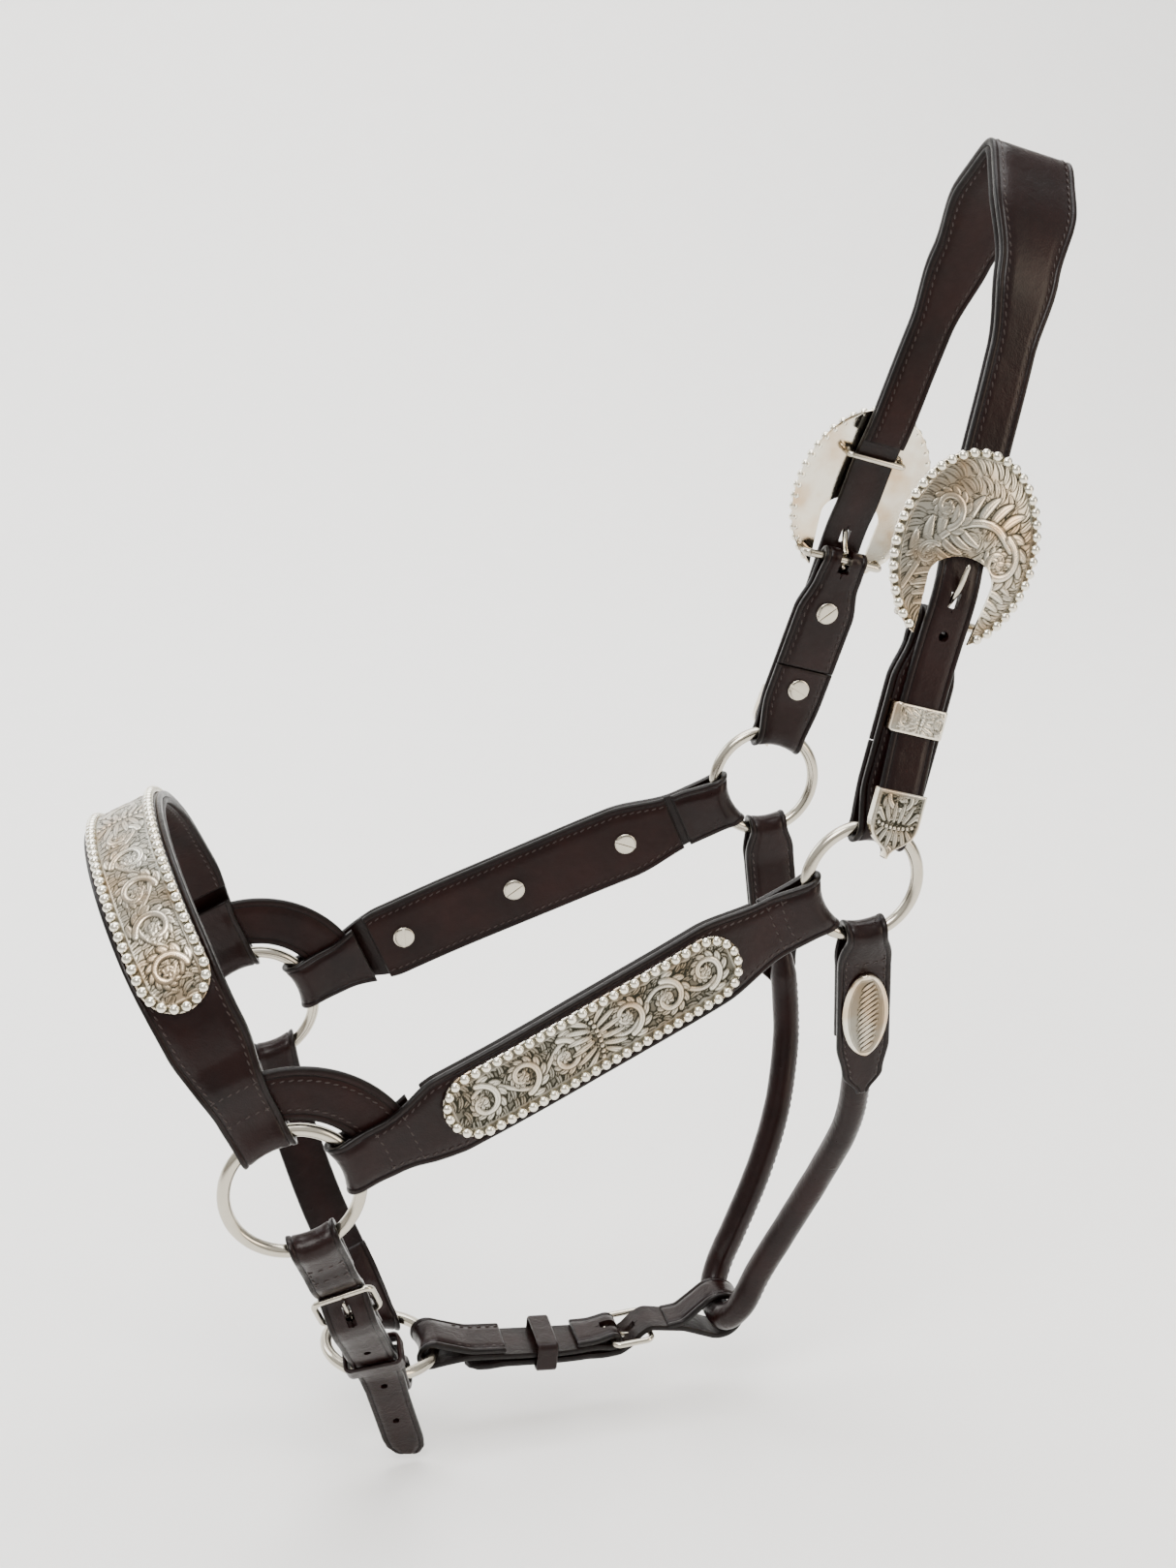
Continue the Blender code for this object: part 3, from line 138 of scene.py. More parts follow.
KEEPER_WALL = 0.0010
KEEPER_HEIGHT = 0.0110
KEEPER_HALF = BILLET_WIDTH / 2.0 + 0.0008

CHIN_WIDTH = 0.0190
CHIN_FRAME_AT = 0.0690
CHIN_KEEPER_AT = 0.0300
CHIN_TAIL = 0.0360
CHIN_BOW = {"left": (0.0045, 0.0), "right": (0.0070, 0.0045)}
GULLET_WIDTH = 0.0205
GULLET_FRAME_AT = 0.0780
GULLET_KEEPER_AT = 0.0480
FRAME_HALF = (0.0115, 0.0085)
FRAME_WIRE = 0.0013

ROLL_RADIUS = 0.0058
ROLL_CLEARANCE = 0.0030
TAB_WIDTH = 0.0220
TAB_LENGTH = 0.0740
TAB_SWING = math.radians(4.5)
TAB_LEAN = math.radians(7.7)
OVAL_AT = 0.0350
OVAL_SIZE = (0.0190, 0.0380)

SCREW_HEAD_RADIUS = 0.0048
SCREW_HEAD_HEIGHT = 0.0011

LAYER = (STRAP_LEATHER + GAP) / 2.0
GUARD_LAYER = GUARD_LEATHER / 2.0 + GAP + STRAP_LEATHER / 2.0
GUARD_END = GUARD_OUTER - NOSE_RING_RADIUS
GUARDED = ((0.008, GUARD_LAYER), (GUARD_END + 0.001, GUARD_LAYER), (GUARD_END + 0.010, LAYER))
PLAIN = ((0.014, LAYER),)
OUTER_FACE = LAYER + STRAP_LEATHER / 2.0
HANGER_LAYER = (STRAP_LEATHER + HANGER_GAP) / 2.0
HANGER_FACE = HANGER_LAYER + STRAP_LEATHER / 2.0
LINING_HEIGHT = LAYER - STRAP_LEATHER / 2.0 - GAP - LINING_LEATHER / 2.0
LINING_FACE = LINING_HEIGHT - LINING_LEATHER / 2.0
PLATE_HEIGHT = OUTER_FACE + GAP + PLATE_THICKNESS / 2.0

# ---- Folds, slots and holes ----
BAR_SLACK = 0.0005
FRAME_LAYERS = ((0.008, LAYER),)
GUARDED_BACK = GUARD_END + 0.002
LINING_FROM = GUARD_END + 0.008
OVER_HEIGHT = OUTER_FACE + 0.0010 + STRAP_LEATHER / 2.0
TONGUE_SLOT = (0.0046, 0.0120, 0.0200)
FRAME_SLOT = (0.0036, 0.0110, 0.0140)
BILLET_SLOT = (0.0040, 0.0095, 0.0120)
HANGER_SLOT = (0.0052, 0.0160, 0.0200)
BILLET_TRIM = 0.0012
PUNCH_RADIUS = 0.0015
PUNCH_DEPTH = 0.008
CHIN_HOLES = ((-0.0130, 0.0133), (0.0100, 0.0066), (0.0460, OVER_HEIGHT))
GULLET_HOLES = ((0.0340, OVER_HEIGHT), (0.0600, OVER_HEIGHT))
KEEPER_CORNER = 0.0012
LOOP_WALL = 0.0016
LOOP_HEIGHT = 0.0090

# ---- Detail ----
ROW_STEP = 0.0011
GROOVE_INSET = 0.0022
GROOVE_DEPTH = 0.0004
STITCH_INSET = 0.0036
NARROW_INSET = 0.0030
GUARD_STITCH_INSET = 0.0046
STITCH_FROM = 0.010
WIDE_STITCH_FROM = 0.012
THREAD_WIDTH = 0.00062
STITCH_SHARE = 0.74
STITCH_SLANT = math.radians(14.0)
BEAD_INSET = 0.0016
BEAD_LIFT = 0.0009
BEAD_HEIGHT_SHARE = 0.86
BUCKLE_BEAD_INSET = 0.0011
SLOT_TURN = 2.2
WELD_TURN = 3.6
# Rows across a band's front, and how far apart a plaque's rows lie.
BAND_ROWS = 25
PLATE_PITCH = 0.00036
BUCKLE_PITCH = 0.00038
PLATE_BORDER = 0.0040
# How dark the sunk ground round an engraving is, from 0 to 1.
NOSE_GROUND = 0.45
CHEEK_GROUND = 0.85
BUCKLE_GROUND = 0.38
OVAL_GROUND = 0.70
# The engraving is worked out on a grid this fine, and a leaf's vein is this wide in relief and in its cut.
RASTER_PITCH = 0.00016
VEIN_REACH = 0.00020
VEIN_CUT = 0.00018
# A negative recess stands for a burnished back.
BACK_POLISH = -0.35
LEATHER_SHARP = 50
SILVER_SHARP = 45
TIP_SHARP = 40
SCREW_SHARP = 35
ROLL_SHARP = 60

# ---- Studio, with angles in radians and the lens and sensor in millimetres ----
FLOOR_REACH = 20.0
SWEEP = 1.2
BACKDROP_RISE = 4.0
CAMERA_AT = (0.0021, -0.7403, 0.2713)
CAMERA_AZIMUTH = -0.2340
CAMERA_ELEVATION = 0.3351
LENS = 46.7
SENSOR_HEIGHT = 36.0

LEATHER = "Oiled bridle leather"
LINING = "Red-brown lining leather"
ENGRAVED = "Engraved silver plate"
NICKEL = "Polished nickel plate"
SILVER = "Polished silver"
THREAD = "Waxed linen thread"

# Each finish's slot, and the angle in degrees past which its edges stay crisp.
FINISHES = {
    LEATHER: ("leather", LEATHER_SHARP), LINING: ("lining", LEATHER_SHARP), ENGRAVED: ("engraved_silver", None),
    NICKEL: ("nickel_wire", None), SILVER: ("engraved_silver", None), THREAD: ("leather", None)}

# What the straps and plaques leave for the sewing, beading and screwing that follow them.
stitch_lines = {}
bead_lines = {}
screw_spots = {}


# ======================================================================== colours and settings

def linear(code):
    """An sRGB hex colour as the linear colour that Blender's sockets take."""
    channels = [int(code[at:at + 2], 16) / 255.0 for at in (0, 2, 4)]
    return [c / 12.92 if c <= 0.04045 else ((c + 0.055) / 1.055) ** 2.4 for c in channels]


class HalterLeather(bpy.types.PropertyGroup):
    face: FloatVectorProperty(
        name="Strap face", description="Oiled grain side of the straps", subtype="COLOR", size=3,
        min=0.0, max=1.0, default=linear("130504"))
    lining: FloatVectorProperty(
        name="Lining", description="Inner side, next to the horse", subtype="COLOR", size=3,
        min=0.0, max=1.0, default=linear("180705"))
    edge: FloatVectorProperty(
        name="Burnished edge", description="Dyed and waxed cut edges", subtype="COLOR", size=3,
        min=0.0, max=1.0, default=linear("080403"))
    thread: FloatVectorProperty(
        name="Thread", description="Waxed stitching thread", subtype="COLOR", size=3,
        min=0.0, max=1.0, default=linear("21120c"))
    stitch_pitch: FloatProperty(
        name="Stitch pitch", description="Distance from stitch to stitch", default=0.0032, min=0.001,
        subtype="DISTANCE", unit="LENGTH")


class HalterSilver(bpy.types.PropertyGroup):
    bright: FloatVectorProperty(
        name="Silver", description="Bright raised silver", subtype="COLOR", size=3,
        min=0.0, max=1.0, default=linear("d8d3c4"))
    # The recess colour is oxide in the engraving, and also painted shade in the groove under the rim beads.
    recess: FloatVectorProperty(
        name="Darkened recess", description="Oxide left in the engraving", subtype="COLOR", size=3,
        min=0.0, max=1.0, default=linear("2b2a22"))
    nickel: FloatVectorProperty(
        name="Nickel", description="Nickel plate on rings, frames and screws", subtype="COLOR", size=3,
        min=0.0, max=1.0, default=linear("c4bdae"))
    bead_size: FloatProperty(
        name="Bead size", description="Width of a rim bead", default=0.0041, min=0.001,
        subtype="DISTANCE", unit="LENGTH")
    bead_pitch: FloatProperty(
        name="Bead pitch", description="Distance from bead to bead", default=0.0045, min=0.001,
        subtype="DISTANCE", unit="LENGTH")


class HalterStudio(bpy.types.PropertyGroup):
    floor: FloatVectorProperty(
        name="Floor", description="Pale floor and backdrop", subtype="COLOR", size=3,
        min=0.0, max=1.0, default=linear("f4f3f1"))
    floor_drop: FloatProperty(
        name="Floor drop", description="Gap under the lowest strap", default=0.004, min=0.0,
        subtype="DISTANCE", unit="LENGTH")
    key_power: FloatProperty(
        name="Key light", description="Power that the lights share out", default=50.0, min=0.0, unit="POWER")


# ======================================================================== materials

def add_node(tree, kind, settings=None, inputs=None, links=None, into=None):
    """Adds a node, sets its properties and input values, and links its inputs and outputs."""
    node = tree.nodes.new(kind)
    for name, value in (settings or {}).items():
        setattr(node, name, value)
    for key, value in (inputs or {}).items():
        node.inputs[key].default_value = value
    for key, socket in (links or {}).items():
        tree.links.new(socket, node.inputs[key])
    for key, socket in (into or {}).items():
        tree.links.new(node.outputs[key], socket)
    return node


def new_material(name, roughness, metallic=0.0):
    """A new material's tree, its shader's inputs and the piece's own coordinates."""
    result = bpy.data.materials.new(name)
    result.use_nodes = True
    tree = result.node_tree
    skin = tree.nodes["Principled BSDF"].inputs
    skin["Roughness"].default_value = roughness
    skin["Metallic"].default_value = metallic
    return tree, skin, add_node(tree, "ShaderNodeTexCoord").outputs["Object"]


def mottled(tree, place, scale, detail, low, high, breakup=0.5, span=(0.0, 1.0)):
    """Cloudy variation between two colours: hands back the cloud and its colour."""
    cloud = add_node(
        tree, "ShaderNodeTexNoise", inputs={"Scale": scale, "Detail": detail, "Roughness": breakup},
        links={"Vector": place})
    ramp = add_node(tree, "ShaderNodeValToRGB", links={"Fac": cloud.outputs["Fac"]})
    for element, at, colour in zip(ramp.color_ramp.elements, span, (low, high)):
        element.position = at
        element.color = (*colour, 1.0)
    return cloud.outputs["Fac"], ramp.outputs["Color"]


def marked_with(tree, skin, attribute, colour, mark):
    """Base colour that turns to the mark's where a mesh attribute rises to 1; hands back the attribute."""
    amount = add_node(tree, "ShaderNodeAttribute", {"attribute_name": attribute}).outputs["Fac"]
    mixed = add_node(
        tree, "ShaderNodeMix", {"data_type": "RGBA"}, links={0: amount, 6: colour},
        into={2: skin["Base Color"]})
    mixed.inputs[7].default_value = (*mark, 1.0)
    return amount


def scaled(colour, by):
    return [min(1.0, shaded_channel * by) for shaded_channel in colour]


def leather_material(name, colour, edge, roughness, wax):
    """Vegetable-tanned bridle leather, dyed and oiled: deep colour, a waxy sheen and a fine pore grain."""
    tree, skin, place = new_material(name, roughness)
    # Dye takes unevenly over patches some 25 mm wide.
    _, dye = mottled(tree, place, 40.0, 4.0, scaled(colour, 0.62), scaled(colour, 1.55), 0.6, (0.30, 0.72))
    # Wear and dye darken the cut edges.
    marked_with(tree, skin, "edge", dye, edge)
    # Pores are 0.3 mm apart on the hide, and are drawn about twice as coarse so that they show.
    pores = add_node(tree, "ShaderNodeTexVoronoi", inputs={"Scale": 1500.0}, links={"Vector": place})
    creases = add_node(
        tree, "ShaderNodeTexNoise", inputs={"Scale": 220.0, "Detail": 6.0, "Distortion": 0.8},
        links={"Vector": place}).outputs["Fac"]
    add_node(
        tree, "ShaderNodeMapRange", inputs={3: roughness - 0.10, 4: roughness + 0.16}, links={0: creases},
        into={0: skin["Roughness"]})
    fine = add_node(
        tree, "ShaderNodeBump", inputs={"Strength": 0.35, "Distance": 0.0002},
        links={"Height": pores.outputs["Distance"]})
    add_node(
        tree, "ShaderNodeBump", inputs={"Strength": 0.45, "Distance": 0.0006},
        links={"Height": creases, "Normal": fine.outputs["Normal"]}, into={"Normal": skin["Normal"]})
    skin["IOR"].default_value = 1.48
    skin["Specular IOR Level"].default_value = 0.14
    skin["Coat Weight"].default_value = wax
    skin["Coat Roughness"].default_value = 0.18


def engraved_silver_material(name, bright, recess):
    """Hand-engraved silver plate: bright burnished relief, with dark oxide left in the cuts, and painted shade
    in the groove under the rim beads.
    """
    tree, skin, place = new_material(name, 0.24, 1.0)
    # Tarnish warms the silver in patches some 15 mm wide.
    tarnished = [bright[0] * 0.78, bright[1] * 0.62, bright[2] * 0.48]
    _, warm = mottled(tree, place, 60.0, 3.0, tarnished, bright, span=(0.34, 0.58))
    # Where the recess mask rises, the base colour turns dark: oxide in the cuts, and painted shade under the rim
    # beads.
    cut = marked_with(tree, skin, "recess", warm, recess)
    # Unclamped, so that a burnished back comes out smoother than the relief.
    add_node(
        tree, "ShaderNodeMapRange", {"clamp": False}, {3: 0.17, 4: 0.50}, {0: cut}, {0: skin["Roughness"]})
    # Burnishing leaves marks about 0.4 mm wide.
    marks = add_node(
        tree, "ShaderNodeTexNoise", inputs={"Scale": 2400.0, "Detail": 2.0}, links={"Vector": place})
    add_node(
        tree, "ShaderNodeBump", inputs={"Strength": 0.25, "Distance": 0.0001},
        links={"Height": marks.outputs["Fac"]}, into={"Normal": skin["Normal"]})


def polished_metal_material(name, colour, roughness, scratch):
    """Nickel plate or polished silver: mirror-like, with hairline wear and a faint warm tarnish."""
    tree, skin, place = new_material(name, roughness, 1.0)
    cloud, tone = mottled(tree, place, 70.0, 5.0, scaled(colour, 0.70), scaled(colour, 1.02), 0.65)
    tree.links.new(tone, skin["Base Color"])
    add_node(
        tree, "ShaderNodeMapRange", inputs={3: roughness * 0.6, 4: roughness * 1.7}, links={0: cloud},
        into={0: skin["Roughness"]})
    # Hairlines are far under 0.1 mm wide, so they are drawn about 0.5 mm wide and very shallow.
    stretch = add_node(
        tree, "ShaderNodeMapping", inputs={"Scale": (300.0, 2200.0, 900.0)}, links={"Vector": place})
    hair = add_node(
        tree, "ShaderNodeTexNoise", inputs={"Scale": 1.0, "Detail": 3.0},
        links={"Vector": stretch.outputs["Vector"]})
    add_node(
        tree, "ShaderNodeBump", inputs={"Strength": scratch, "Distance": 0.0001},
        links={"Height": hair.outputs["Fac"]}, into={"Normal": skin["Normal"]})


def thread_material(name, colour):
    """Waxed linen thread: two plies twisted together, with a dull wax sheen."""
    tree, skin, place = new_material(name, 0.55)
    twist, tone = mottled(tree, place, 1400.0, 2.0, scaled(colour, 0.55), scaled(colour, 1.30))
    tree.links.new(tone, skin["Base Color"])
    add_node(
        tree, "ShaderNodeBump", inputs={"Strength": 0.5, "Distance": 0.0002}, links={"Height": twist},
        into={"Normal": skin["Normal"]})


def paper_material(name, colour):
    """Seamless backdrop paper: matt, with a barely visible fibre."""
    tree, skin, place = new_material(name, 0.9)
    _, tone = mottled(tree, place, 30.0, 6.0, scaled(colour, 0.97), colour)
    tree.links.new(tone, skin["Base Color"])


# ======================================================================== mesh helpers

def unit(vectors):
    return vectors / np.maximum(np.linalg.norm(vectors, axis=-1, keepdims=True), 1e-12)


def grid_mesh(name, points, wrap=True, caps=True, attributes=None):
    """A closed skin through rows of points; each row is a loop, and the ends are capped."""
    rows, columns = points.shape[:2]
    index = np.arange(rows * columns).reshape(rows, columns)
    after = np.roll(index, -1, axis=1) if wrap else index
    span = columns if wrap else columns - 1
    faces = []
    for row in range(rows - 1):
        low, high = row, row + 1
        sides = (index[low, :span], after[low, :span], after[high, :span], index[high, :span])
        faces += np.stack(sides, 1).tolist()
    if caps:
        faces.append(index[0][::-1].tolist())
        faces.append(index[-1].tolist())
    mesh = bpy.data.meshes.new(name)
    mesh.from_pydata(points.reshape(-1, 3).tolist(), [], faces)
    for key, values in (attributes or {}).items():
        layer = mesh.attributes.new(key, "FLOAT", "POINT")
        layer.data.foreach_set("value", np.ascontiguousarray(values, np.float32).ravel())
    finish_mesh(mesh)
    return mesh


def finish_mesh(mesh, merge=0.00001):
    work = bmesh.new()
    work.from_mesh(mesh)
    bmesh.ops.remove_doubles(work, verts=work.verts, dist=merge)
    bmesh.ops.dissolve_degenerate(work, dist=0.000001, edges=work.edges)
    bmesh.ops.recalc_face_normals(work, faces=work.faces)
    work.to_mesh(mesh)
    work.free()
    mesh.shade_smooth()
    return mesh


def add_piece(name, mesh, finish, body, nodes=(), sharp=None):
    """Adds a finished mesh that rides on a body and stands for the CAD nodes given."""
    usual_slot, usual_sharp = FINISHES[finish]
    item = bpy.data.objects.new(name, mesh)
    bpy.context.scene.collection.objects.link(item)
    mesh.materials.clear()
    mesh.materials.append(bpy.data.materials[finish])
    if sharp or usual_sharp:
        mesh.set_sharp_from_angle(angle=math.radians(sharp or usual_sharp))
    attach(item, body)
    if nodes:
        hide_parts(*nodes)
    return item


def joined(name, meshes):
    """One mesh holding all the meshes given."""
    work = bmesh.new()
    for mesh in meshes:
        work.from_mesh(mesh)
    result = bpy.data.meshes.new(name)
    work.to_mesh(result)
    work.free()
    result.shade_smooth()
    return result


def smooth_line(points, steps):
    """A Catmull-Rom line through the points."""
    points = np.asarray(points, float)
    ends = np.vstack((2.0 * points[0] - points[1], points, 2.0 * points[-1] - points[-2]))
    line = []
    t = np.arange(steps)[:, None] / steps
    for index in range(1, len(ends) - 2):
        before, start, end, after = ends[index - 1:index + 3]
        line.append(0.5 * (
            2.0 * start + (end - before) * t
            + (2.0 * before - 5.0 * start + 4.0 * end - after) * t ** 2
            + (3.0 * start - before - 3.0 * end + after) * t ** 3))
    return np.vstack(line + [points[-1:]])


def tube_mesh(name, line, radius, sides=14, closed=False, squash=1.0):
    """A round wire along a line, with closed ends unless it is a loop."""
    line = np.asarray(line, float)
    tangent = np.roll(line, -1, 0) - np.roll(line, 1, 0) if closed else np.gradient(line, axis=0)
    tangent = unit(tangent)
    normals = []
    normal = np.cross(tangent[0], (0.31, 0.87, 0.38))
    for direction in tangent:
        normal = unit(normal - direction * np.dot(normal, direction))
        normals.append(normal)
    normals = np.array(normals)
    side = np.cross(tangent, normals)
    turns = np.arange(sides) * 2.0 * math.pi / sides
    radii = np.broadcast_to(np.asarray(radius, float).reshape(-1, 1, 1), (len(line), 1, 1))
    ring = (np.cos(turns)[None, :, None] * normals[:, None, :]
            + squash * np.sin(turns)[None, :, None] * side[:, None, :])
    points = line[:, None, :] + radii * ring
    if closed:
        points = np.concatenate((points, points[:1]), 0)
    return grid_mesh(name, points, caps=not closed)


class Route:
    """The line that a strap follows, read by distance, with its width direction and outer side."""

    def __init__(self, points, across_start, across_end=None, flip=False):
        self.line = smooth_line(points, 24)
        steps = np.linalg.norm(np.diff(self.line, axis=0), axis=1)
        self.reached = np.concatenate(([0.0], np.cumsum(steps)))
        self.length = float(self.reached[-1])
        self.across_start = np.asarray(across_start, float)
        self.across_end = np.asarray(across_start if across_end is None else across_end, float)
        self.flip = flip

    def point(self, distance):
        distance = np.atleast_1d(distance)
        inside = np.stack([np.interp(distance, self.reached, self.line[:, axis]) for axis in range(3)], -1)
        before = np.minimum(distance, 0.0)[:, None] * unit(self.line[1] - self.line[0])
        after = np.maximum(distance - self.length, 0.0)[:, None] * unit(self.line[-1] - self.line[-2])
        return inside + before + after

    def frame(self, distance):
        """Points, and along, across and outward directions, at distances from the start."""
        distance = np.atleast_1d(np.asarray(distance, float))
        along = unit(self.point(distance + 0.004) - self.point(distance - 0.004))
        part = np.clip(distance / self.length, 0.0, 1.0)[:, None]
        across = unit(self.across_start * (1.0 - part) + self.across_end * part)
        square = unit(across - along * np.sum(across * along, -1, keepdims=True))
        inside = (np.minimum(distance, self.length - distance) - SKEW_NEAR) / (SKEW_FAR - SKEW_NEAR)
        across = unit(across + (square - across) * np.clip(inside, 0.0, 1.0)[:, None])
        out = np.cross(along, across) if self.flip else np.cross(across, along)
        return self.point(distance), along, across, unit(out)

    def place(self, distance, height=0.0):
        """A placing matrix on the route: local Y along it and local Z out of it."""
        point, along, _, out = (values[0] for values in self.frame(distance))
        across = np.cross(along, out)
        rows = [[across[i], along[i], out[i], point[i] + out[i] * height] for i in range(3)]
        return Matrix(rows + [[0.0, 0.0, 0.0, 1.0]])


def width_at(widths, distance):
    """Widths read from (distance, width) pairs, eased between them."""
    distance = np.atleast_1d(np.asarray(distance, float))
    stations = np.array([station for station, _ in widths])
    values = np.array([value for _, value in widths])
    index = np.clip(np.searchsorted(stations, distance) - 1, 0, len(stations) - 2)
    gap = np.maximum(stations[index + 1] - stations[index], 1e-9)
    t = np.clip((distance - stations[index]) / gap, 0.0, 1.0)
    return values[index] + (values[index + 1] - values[index]) * t * t * (3.0 - 2.0 * t)


def mirrored_widths(widths, length):
    return tuple(widths) + tuple((length - at, width) for at, width in reversed(widths))


def fold(at, facing, bar, layers, back, slack=RING_CLEARANCE, leather=STRAP_LEATHER):
    """Side outline of a strap end turned round a bar, from its turned-back end to its outer layer."""
    radius = bar + slack + leather / 2.0
    lead = math.radians(25.0)
    inner = [(at + facing * back, -layers[-1][1] if back > layers[-1][0] else -layers[0][1])]
    inner += [(at + facing * run, -height) for run, height in reversed(layers) if run < back]
    angles = np.linspace(-(math.pi / 2.0 + lead), math.pi / 2.0 + lead, 25)
    turn = [(at - facing * radius * math.cos(angle), radius * math.sin(angle)) for angle in angles]
    outer = [(at + facing * run, height) for run, height in layers]
    return inner + turn + outer


def even_outline(outline):
    """The side outline as evenly spaced points, with its corners eased."""
    outline = np.array(outline, float)
    lengths = np.concatenate(([0.0], np.cumsum(np.linalg.norm(np.diff(outline, axis=0), axis=1))))
    fine = np.arange(0.0, lengths[-1], 0.0004)
    points = np.stack([np.interp(fine, lengths, outline[:, axis]) for axis in range(2)], -1)
    for _ in range(14):
        points[1:-1] = (points[:-2] + 2.0 * points[1:-1] + points[2:]) / 4.0
    points = np.vstack((points, outline[-1]))
    lengths = np.concatenate(([0.0], np.cumsum(np.linalg.norm(np.diff(points, axis=0), axis=1))))
    count = max(8, int(lengths[-1] / ROW_STEP))
    ends = np.array((0.0, 0.0003, 0.0008))
    rows = np.concatenate((ends, np.linspace(0.0014, lengths[-1] - 0.0014, count), lengths[-1] - ends[::-1]))
    return np.stack([np.interp(rows, lengths, points[:, axis]) for axis in range(2)], -1), rows, lengths[-1]


class Strap:
    """One leather strap's skin: its side outline carried along a route, with eased edges and edge creases."""

    def __init__(self, route, outline, widths, leather=STRAP_LEATHER, hugs=(), inward=False):
        self.route = route
        self.widths = widths
        self.leather = leather
        self.hugs = hugs
        self.inward = inward
        self.outline, self.rows, self.run = even_outline(outline)

    def on_layer(self, side):
        """Points at distances to the side of the middle, on every row of the strap's middle layer."""
        distance, height = self.outline[:, 0], self.outline[:, 1]
        point, along, across, out = self.route.frame(distance)
        place = point[:, None] + across[:, None] * side[..., None] + (out * height[:, None])[:, None]
        for at, centre, ring in self.hugs:
            near = 1.0 - np.clip((np.abs(distance - at) - 0.006) / 0.012, 0.0, 1.0)
            toward = unit(np.asarray(centre) - self.route.point(at)[0])
            shift = ring - np.sqrt(np.maximum(ring ** 2 - side ** 2, 0.0))
            place = place + toward * (near[:, None] * shift)[..., None]
        return place

    def half(self):
        return np.maximum(width_at(self.widths, self.outline[:, 0]) / 2.0, 0.0006)

    def normals(self):
        half = self.half()[:, None]
        middle = self.on_layer(np.zeros((len(self.outline), 1)))[:, 0]
        across = self.on_layer(half * 0.5)[:, 0] - self.on_layer(-half * 0.5)[:, 0]
        tangent = np.gradient(middle, axis=0)
        normal = unit(np.cross(across, tangent))
        if self.route.flip:
            normal = -normal
        return -normal if self.inward else normal

    def profile(self, half):
        """(side, height) of the cross-section's points on every row, and how near the edge each one is."""
        t = self.leather / 2.0
        room = np.minimum(1.0, half / (GROOVE_INSET + 0.0016))[:, None]
        inset = np.array((0.0, 0.00018, 0.0007, GROOVE_INSET - 0.0005, GROOVE_INSET, GROOVE_INSET + 0.0005))
        height = np.array((0.30, 0.74, 1.0, 1.0, 1.0 - GROOVE_DEPTH / t, 1.0)) * t
        near = np.array((1.0, 1.0, 0.75, 0.15, 0.85, 0.10))
        right_side = half[:, None] - inset * room
        middle = np.array((0.6, 0.2, -0.2, -0.6)) * (half[:, None] - (GROOVE_INSET + 0.0005) * room)
        top_side = np.hstack((right_side, middle, -right_side[:, ::-1]))
        top_height = np.concatenate((height, np.full(4, t), height[::-1]))
        top_near = np.concatenate((near, np.zeros(4), near[::-1]))
        back_inset = np.array((0.0, 0.0005))
        back_right = half[:, None] - back_inset * room
        back_side = np.hstack((-back_right, middle[:, ::-1][:, 1:3], back_right[:, ::-1]))
        back_height = np.array((-0.45, -1.0, -1.0, -1.0, -1.0, -0.45)) * t
        back_near = np.array((1.0, 0.7, 0.0, 0.0, 0.7, 1.0))
        side = np.hstack((top_side, back_side))
        return side, np.concatenate((top_height, back_height)), np.concatenate((top_near, back_near))

    def mesh(self, name):
        half = self.half()
        side, height, near = self.profile(half)
        thick = np.ones(len(half))
        thick[[0, -1]] = 0.55
        thick[[1, -2]] = 0.86
        normal = self.normals()
        points = self.on_layer(side) + normal[:, None] * (height[None, :] * thick[:, None])[..., None]
        ends = np.minimum(self.rows, self.run - self.rows)
        worn = np.maximum(np.broadcast_to(near, side.shape), np.clip(1.0 - ends / 0.0012, 0.0, 1.0)[:, None])
        return grid_mesh(name, points, attributes={"edge": worn})

    def line(self, start, end, inset, face=1.0, layer=1.0):
        """A path on the strap's face a set distance in from its edge; a negative inset takes the other edge.

        start and end are route distances, and layer is +1 for the outer layer and -1 for the turned-back one.
        """
        half = self.half()
        side = np.sign(inset) * np.maximum(half - abs(inset), 0.0)
        normal = self.normals()
        lift = face * self.leather / 2.0
        points = self.on_layer(side[:, None])[:, 0] + normal * lift
        forward = np.gradient(self.outline[:, 0]) * layer > 0.0
        inside = (self.outline[:, 0] >= start) & (self.outline[:, 0] <= end) & forward
        return points[inside], normal[inside] * face


def keep_stitches(body, path):
    if len(path[0]) > 3:
        stitch_lines.setdefault(body, []).append(path)


def edge_stitches(body, strap, start, end, face=1.0, layer=1.0, inset=STITCH_INSET):
    for edge in (1.0, -1.0):
        keep_stitches(body, strap.line(start, end, edge * inset, face, layer))


def cross_stitches(body, strap, at, face=1.0):
    """A row of stitches straight across a strap."""
    index = int(np.argmin(np.abs(strap.outline[:, 0] - at) + (np.gradient(strap.outline[:, 0]) <= 0.0)))
    half = strap.half()[index] - STITCH_INSET
    side = np.linspace(-half, half, 12)
    layer = strap.on_layer(np.broadcast_to(side, (len(strap.outline), 12)))[index]
    normal = strap.normals()[index] * face
    keep_stitches(body, (layer + normal * strap.leather / 2.0, np.broadcast_to(normal, layer.shape)))


# ======================================================================== engraving

def raster(width, height):
    """An empty engraving ground: its grid's x and y, its relief and its cuts."""
    x, y = (np.arange(-size / 2.0, size / 2.0 + RASTER_PITCH, RASTER_PITCH) for size in (width, height))
    return x, y, np.zeros((len(y), len(x))), np.zeros((len(y), len(x)))


